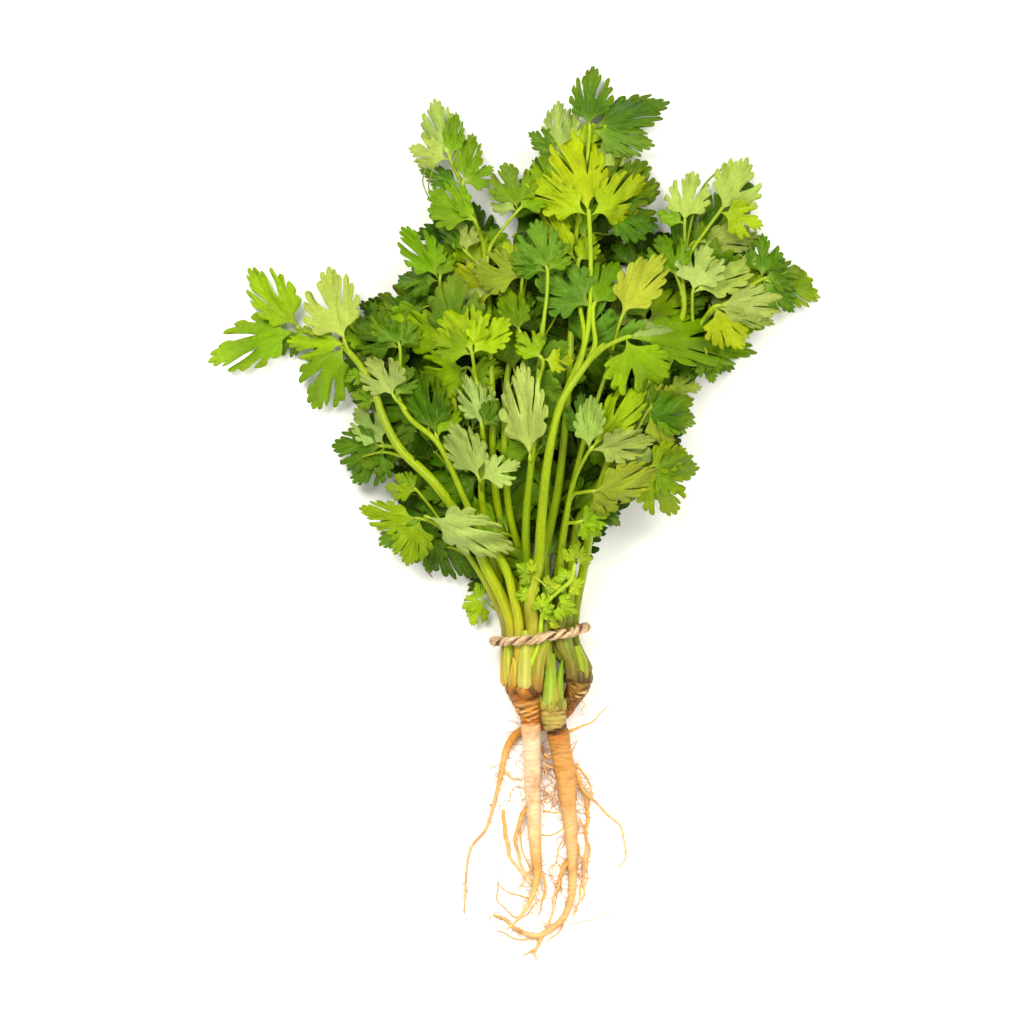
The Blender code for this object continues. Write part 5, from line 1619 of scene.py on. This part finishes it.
def sheath(skin, corners, widths, high, low, draw, up=(0.0, 0.0, 1.0)):
    """A thin trough laid over a stem, open below, ragged along its rim."""
    line, places = smooth_line(corners, 0.7)
    half = np.interp(places, range(len(widths)), widths)
    side, above = sides_of(line, np.array(up))
    share = places / places[-1]
    turn = np.linspace(-0.15 * np.pi, 1.15 * np.pi, SHEATH_AROUND)
    ragged = 1 + 0.02 * np.sin(run_of(line) * 1.1 + draw.uniform(0, 6))
    ribs = 1 + 0.02 * np.cos(turn * 12)
    outer = half[:, None] * ragged[:, None] * ribs[None, :]
    shape = (side[:, None, :] * np.cos(turn)[None, :, None]
             + above[:, None, :] * (np.sin(turn) * 0.92 - 0.2)[None, :, None])
    flat = (line[:, None, :] + shape * outer[:, :, None]).reshape(-1, 3)
    inner = (line[:, None, :] + shape * (outer - SHEATH_WALL)[:, :, None]).reshape(-1, 3)
    over = np.arange(len(flat)).reshape(len(line), SHEATH_AROUND)
    under = over + len(flat)
    faces = grid_faces(len(line), SHEATH_AROUND, whole=False)
    faces = [faces, faces[:, ::-1] + len(flat), strip(over[:, 0], under[:, 0]),
             strip(under[:, -1], over[:, -1]), strip(over[-1], under[-1])]
    tones = blend([(0, low), (0.35, low * 0.45 + high * 0.55), (1, high)], share)
    tones = np.repeat(tones[:, None, :], SHEATH_AROUND, axis=1)
    tones = tones * (1 + 0.18 * np.cos(turn * 12))[None, :, None]
    edge = np.clip((np.abs(turn - np.pi / 2) - 1.3) / 0.6, 0, 1)[None, :, None]
    tones = tones + (0.5 * (high + paint(200, 176, 96)) - tones) * edge * 0.6
    tones = tones.reshape(-1, 3)
    # the inner wall is painted at 0.8 of the outer tones, a painted shade under the sheath
    skin.patch(np.concatenate([flat, inner]), np.concatenate(faces),
               np.concatenate([tones, tones * 0.8]))


print("a sheath's wall is", SHEATH_WALL, "mm thick")

# %% Scales, and all of them together
def scales(skin, crown, draw):
    """Torn bases of old stalks, standing round the top of a crown."""
    (x, y, z), _ = CROWNS[crown]
    count, reach, *tones, shade = SCALES[crown]
    high, low = (paint(*tone) for tone in tones)
    for index in range(count):
        angle = math.radians(-96 + 192 * (index + draw.uniform(0.1, 0.9)) / count)
        out = np.array((math.sin(angle), 0.0, 1.2 * math.cos(angle)))
        foot = np.array((x, y - draw.uniform(3.0, 4.4), z))
        tall = draw.uniform(2.0, 5.6)
        line = [foot + out * (reach * 0.84), foot + out * (reach * 0.98) + (0, tall * 0.6, 0),
                foot + out * (reach * draw.uniform(0.88, 1.06)) + (0, tall + 1.2, 0)]
        wide = draw.uniform(1.3, 2.3)
        tone = draw.uniform(0.75, 1.1) * (shade if 0.1 < angle < 1.2 else 0.85)
        sheath(skin, line, (wide, wide * 0.8, 0.25), high * tone, low * tone, draw, out)


draw = random.Random(77)
sheaths = Skin()
for crown in SCALES:
    scales(sheaths, crown, draw)
for corners, widths, high, low in SHEATHS:
    sheath(sheaths, corners, widths, paint(*high), paint(*low), draw)
sheaths.finish("sheaths", STALK, "leaf")

# %% [markdown]
# ## The cord
# Two strands of straw are twisted round each other and pulled round the stems like a string
# round pencils. Each strand is itself a bundle of fibres, and a few ends stick out.

# %% The cord's path
CORD_TURNS = 24
STRAND_RADIUS, TWIST_RADIUS, TWISTS = 1.12, 0.90, 11
STRAND_AROUND, FIBRES = 24, 8
LOOSE_FIBRES = 34


def cord_path():
    """The middle of the cord, as a closed ring of points round the stems."""
    held = [(*slot_place(stem[1]), STEM_RADIUS * max(1.0, stem[3])) for stem in STEMS]
    ring = []
    for step in range(CORD_TURNS):
        angle = 2 * math.pi * step / CORD_TURNS
        nx, nz = math.cos(angle), math.sin(angle)
        x, z, radius = max(held, key=lambda rod: rod[0] * nx + rod[1] * nz + rod[2])
        reach = radius + GAP + CORD_RADIUS
        ring.append((x + nx * reach, cord_y(x + nx * reach), z + nz * reach))
    return np.array(ring)


def closed_line(ring, step):
    """A smooth closed line through a ring, evenly spaced."""
    padded = np.concatenate([ring[-3:], ring, ring[:3]])
    line, places = smooth_line(padded, 0.3)
    line = line[(places >= 3) & (places < len(ring) + 3)]
    looped = np.concatenate([line, line[:1]])
    run = run_of(looped)
    even = np.arange(0, run[-1], run[-1] / round(run[-1] / step))
    return np.stack([np.interp(even, run, looped[:, k]) for k in range(3)], axis=1), run[-1]


CORD_LINE, CORD_LENGTH = closed_line(cord_path(), 0.4)
print("the cord is", round(CORD_LENGTH), "mm round")


# %% Twisted strands
def closed_sides(line):
    """Two directions square to a closed line, the second near the bunch's long axis."""
    return square_to(np.roll(line, -1, axis=0) - np.roll(line, 1, axis=0),
                     np.array((0.0, 1.0, 0.0)))


def twisted_strand(skin, phase):
    share = np.arange(len(CORD_LINE)) / len(CORD_LINE)
    angle = 2 * np.pi * TWISTS * share + phase + 0.5 * np.sin(2 * np.pi * 3 * share + phase)
    side, above = closed_sides(CORD_LINE)
    line = (CORD_LINE + side * (np.cos(angle) * TWIST_RADIUS)[:, None]
            + above * (np.sin(angle) * TWIST_RADIUS)[:, None])
    turn = ring_angles(STRAND_AROUND)
    roll = 2 * np.pi * TWISTS * 1.5 * share[:, None]
    ridge = np.cos(FIBRES * turn[None, :] - roll + 2 * phase)
    fine = np.cos(3 * turn[None, :] - roll + phase)
    plump = (1 + 0.10 * np.sin(2 * np.pi * 7 * share + phase * 3)
             + 0.07 * np.sin(2 * np.pi * 16 * share + phase))[:, None]
    radii = STRAND_RADIUS * plump * (1 + 0.07 * ridge + 0.06 * fine)
    points = rings_round(line, closed_sides(line), radii)
    points[:, 2] = np.maximum(points[:, 2], 0.03)
    # painted highlight and shade: the fibres' ridges are painted pale and the grooves between
    # them dark
    pale = np.clip(0.60 + 0.36 * ridge + 0.26 * fine, 0, 1)[:, :, None]
    tints = mix(paint(126, 84, 40), paint(222, 190, 146), pale)
    patches = 0.5 + 0.5 * np.sin(2 * np.pi * 5 * share + phase)[:, None, None]
    tints = tints + (paint(232, 192, 166) - tints) * patches * 0.25
    # painted shade: darker where the two strands press together at the cord's middle
    out = np.linalg.norm(points.reshape(ridge.shape + (3,)) - CORD_LINE[:, None, :], axis=2)
    deep = 1 - smooth_step(0.9, 1.75, out)[:, :, None]
    tints = tints + (paint(66, 34, 10) - tints) * deep * 0.9
    faces = grid_faces(len(line), STRAND_AROUND, closed=True)
    skin.patch(points, faces, tints.reshape(-1, 3))


def loose_fibre(skin, draw):
    at = draw.randrange(len(CORD_LINE))
    side, above = closed_sides(CORD_LINE)
    angle = any_phase(draw)
    out = side[at] * math.cos(angle) + above[at] * math.sin(angle)
    start = CORD_LINE[at] + out * 1.7
    ahead = unit(CORD_LINE[(at + 6) % len(CORD_LINE)] - CORD_LINE[at])
    length = draw.uniform(1.0, 3.2)
    rows = [(*start, 0.14), (*(start + ahead * length * 0.5 + out * 0.3), 0.11),
            (*(start + ahead * length + out * draw.uniform(0.4, 1.1)), 0.07)]
    strand(skin, rows, draw, 5, 0.0, paint(206, 150, 96), paint(222, 176, 124))


draw = random.Random(5)
cord = Skin()
for phase in (0.0, math.pi):
    twisted_strand(cord, phase)
for _ in range(LOOSE_FIBRES):
    loose_fibre(cord, draw)
cord.finish("straw_cord", STRAW, "straw_cord", "tie_cord")

# %% [markdown]
# ## Small things on top
# A young sprig with tiny bright leaves lies in the groove between two stems and climbs over
# the bundle. A few dry tendrils hang from the leaves' rim.

# %% The young sprig
SPRIG = ((0.1, -14.0, 22.0), (0.0, -7.6, 24.2), (0.3, 3.0, 24.6), (1.2, 9.4, 27.0),
         (3.6, 14.4, 29.4), (8.0, 18.4, 31.4), (12.4, 22.4, 33.0), (14.0, 29.4, 34.6))
TWIGS = (((-4.4, -13.0, 23.4), (-2.0, -7.4, 25.0), (0.1, -1.0, 25.0)),
         ((1.0, 9.0, 27.0), (-1.6, 12.6, 28.6), (-4.0, 15.6, 29.2)),
         ((3.8, 14.6, 29.4), (2.2, 20.0, 31.0), (-2.6, 24.0, 32.0)))
TINY = (                         # x, y, z; heading; length
    (-4.0, 16.2, 29.6, 120, 7.0), (0.4, 10.4, 29.6, 75, 6.4), (7.2, 12.6, 30.6, -25, 8.0),
    (3.0, 5.6, 28.4, 40, 6.0), (6.6, 17.8, 31.8, 100, 5.4), (12.0, 20.2, 33.0, 10, 6.0),
    (14.2, 29.8, 35.0, 80, 8.0), (-3.4, 24.6, 32.6, 150, 7.0), (10.4, 22.6, 33.2, 110, 5.4),
    (2.6, 20.2, 31.6, 20, 4.6))


class Flat:
    """A level pose for a tiny leaf that no solid has."""

    def __init__(self, x, y, z, slope):
        self.node, self.slope = np.array((x, y, z)), slope

    def place(self, heading, along, across, length, phase, lift=0.0):
        dx, dy = turned(along, across, heading)
        height = self.node[2] + self.slope[0] * dx + self.slope[1] * dy + lift
        return np.stack([self.node[0] + dx, self.node[1] + dy, height], axis=-1)


draw = random.Random(9)
sprig_stalks, sprig_leaves = Skin(), Skin()
for line, thick in ((SPRIG, 0.95), (TWIGS[0], 0.9), (TWIGS[1], 0.4), (TWIGS[2], 0.4)):
    add_stalk(sprig_stalks, line, thick, paint(168, 196, 40))
for x, y, z, heading, length in TINY:
    pose = Flat(x, y, z, (draw.uniform(-0.3, 0.3), draw.uniform(-0.3, 0.3)))
    for turn, share in ((0, 1.1), (62, 0.9), (-62, 0.9)):
        add_leaflet(sprig_leaves, pose, heading + turn, length * share, length * 0.9 * share,
                    0.0, draw.choice("byb"), draw, fine=False)
for line in (((-48.6, 33.6, 9.0), (-46.6, 30.0, 5.0), (-45.6, 26.0, 3.0), (-43.0, 23.0, 2.0)),
             ((-45.6, 189.0, 20.0), (-46.8, 183.0, 17.0), (-45.8, 178.0, 15.0),
              (-42.6, 173.6, 14.0)),
             ((-43.0, 187.0, 19.0), (-44.6, 181.0, 16.5), (-43.0, 176.0, 14.0))):
    rows = [(*point, 0.28) for point in line]
    strand(sprig_stalks, rows, draw, 6, 0.2, paint(120, 140, 40), paint(150, 120, 70))
sprig_stalks.finish("sprig_stalks", STALK, "pale_leaf")
sprig_leaves.finish("sprig_leaves", LEAF, "pale_leaf")

# %% [markdown]
# ## Floor, light and camera
# The bunch lies on a white table and is seen from straight above through a long lens, which
# keeps the tall middle of the heap from looking larger than its rim. The largest light
# stands to the upper left, two smaller ones lighten its shadow on the table, and a pale sky
# fills in the rest.

# %% Floor
def flat_finish(name, colour, roughness):
    made = bpy.data.materials.new(name)
    made.use_nodes = True
    shader = made.node_tree.nodes["Principled BSDF"]
    shader.inputs["Base Color"].default_value = (*colour, 1.0)
    shader.inputs["Roughness"].default_value = roughness
    return made


bpy.ops.mesh.primitive_plane_add(size=8.0, location=(0, 0, 0))
floor = bpy.context.object
floor.name = "white_table"
floor.data.materials.append(flat_finish("white_table", (0.93, 0.93, 0.93), 0.9))
print("the table is", round(floor.dimensions[0], 1), "m wide")

# %% Light
WARM = (1.0, 0.98, 0.88)
LIGHTS = (                       # name, place in metres, size, watts
    ("window", (-0.55, 0.75, 1.7), 0.8, 31), ("second_window", (0.75, 0.75, 1.7), 0.9, 19),
    ("far_side", (0.6, -0.9, 1.7), 1.2, 18))
scene = bpy.context.scene
for name, place, size, watts in LIGHTS:
    lamp = bpy.data.lights.new(name, "AREA")
    lamp.shape, lamp.size, lamp.energy, lamp.color = "DISK", size, watts, WARM
    light = bpy.data.objects.new(name, lamp)
    light.location = place
    light.rotation_euler = (-Vector(place)).to_track_quat("-Z", "Y").to_euler()
    scene.collection.objects.link(light)
sky = bpy.data.worlds.new("pale_sky")
sky.use_nodes = True
sky.node_tree.nodes["Background"].inputs["Color"].default_value = (1.0, 0.99, 0.90, 1)
sky.node_tree.nodes["Background"].inputs["Strength"].default_value = 0.56
scene.world = sky
scene.view_settings.view_transform = "Standard"
print("lights:", len(LIGHTS))

# %% Camera
LENS, SENSOR = 360.0, 36.0
SEEN = 409.6                     # width of the view there, in millimetres
LOOKS_AT = (-11.2, 49.6, 32.0)   # the middle of the view, half way up the heap
lens = bpy.data.cameras.new("from_above")
lens.lens, lens.sensor_width = LENS, SENSOR
camera = bpy.data.objects.new("from_above", lens)
far = SEEN * LENS / SENSOR
camera.location = to_frame(LOOKS_AT) + (0, 0, far * MM)
scene.collection.objects.link(camera)
scene.camera = camera
print("the camera is", round(far / 1000, 2), "m away")
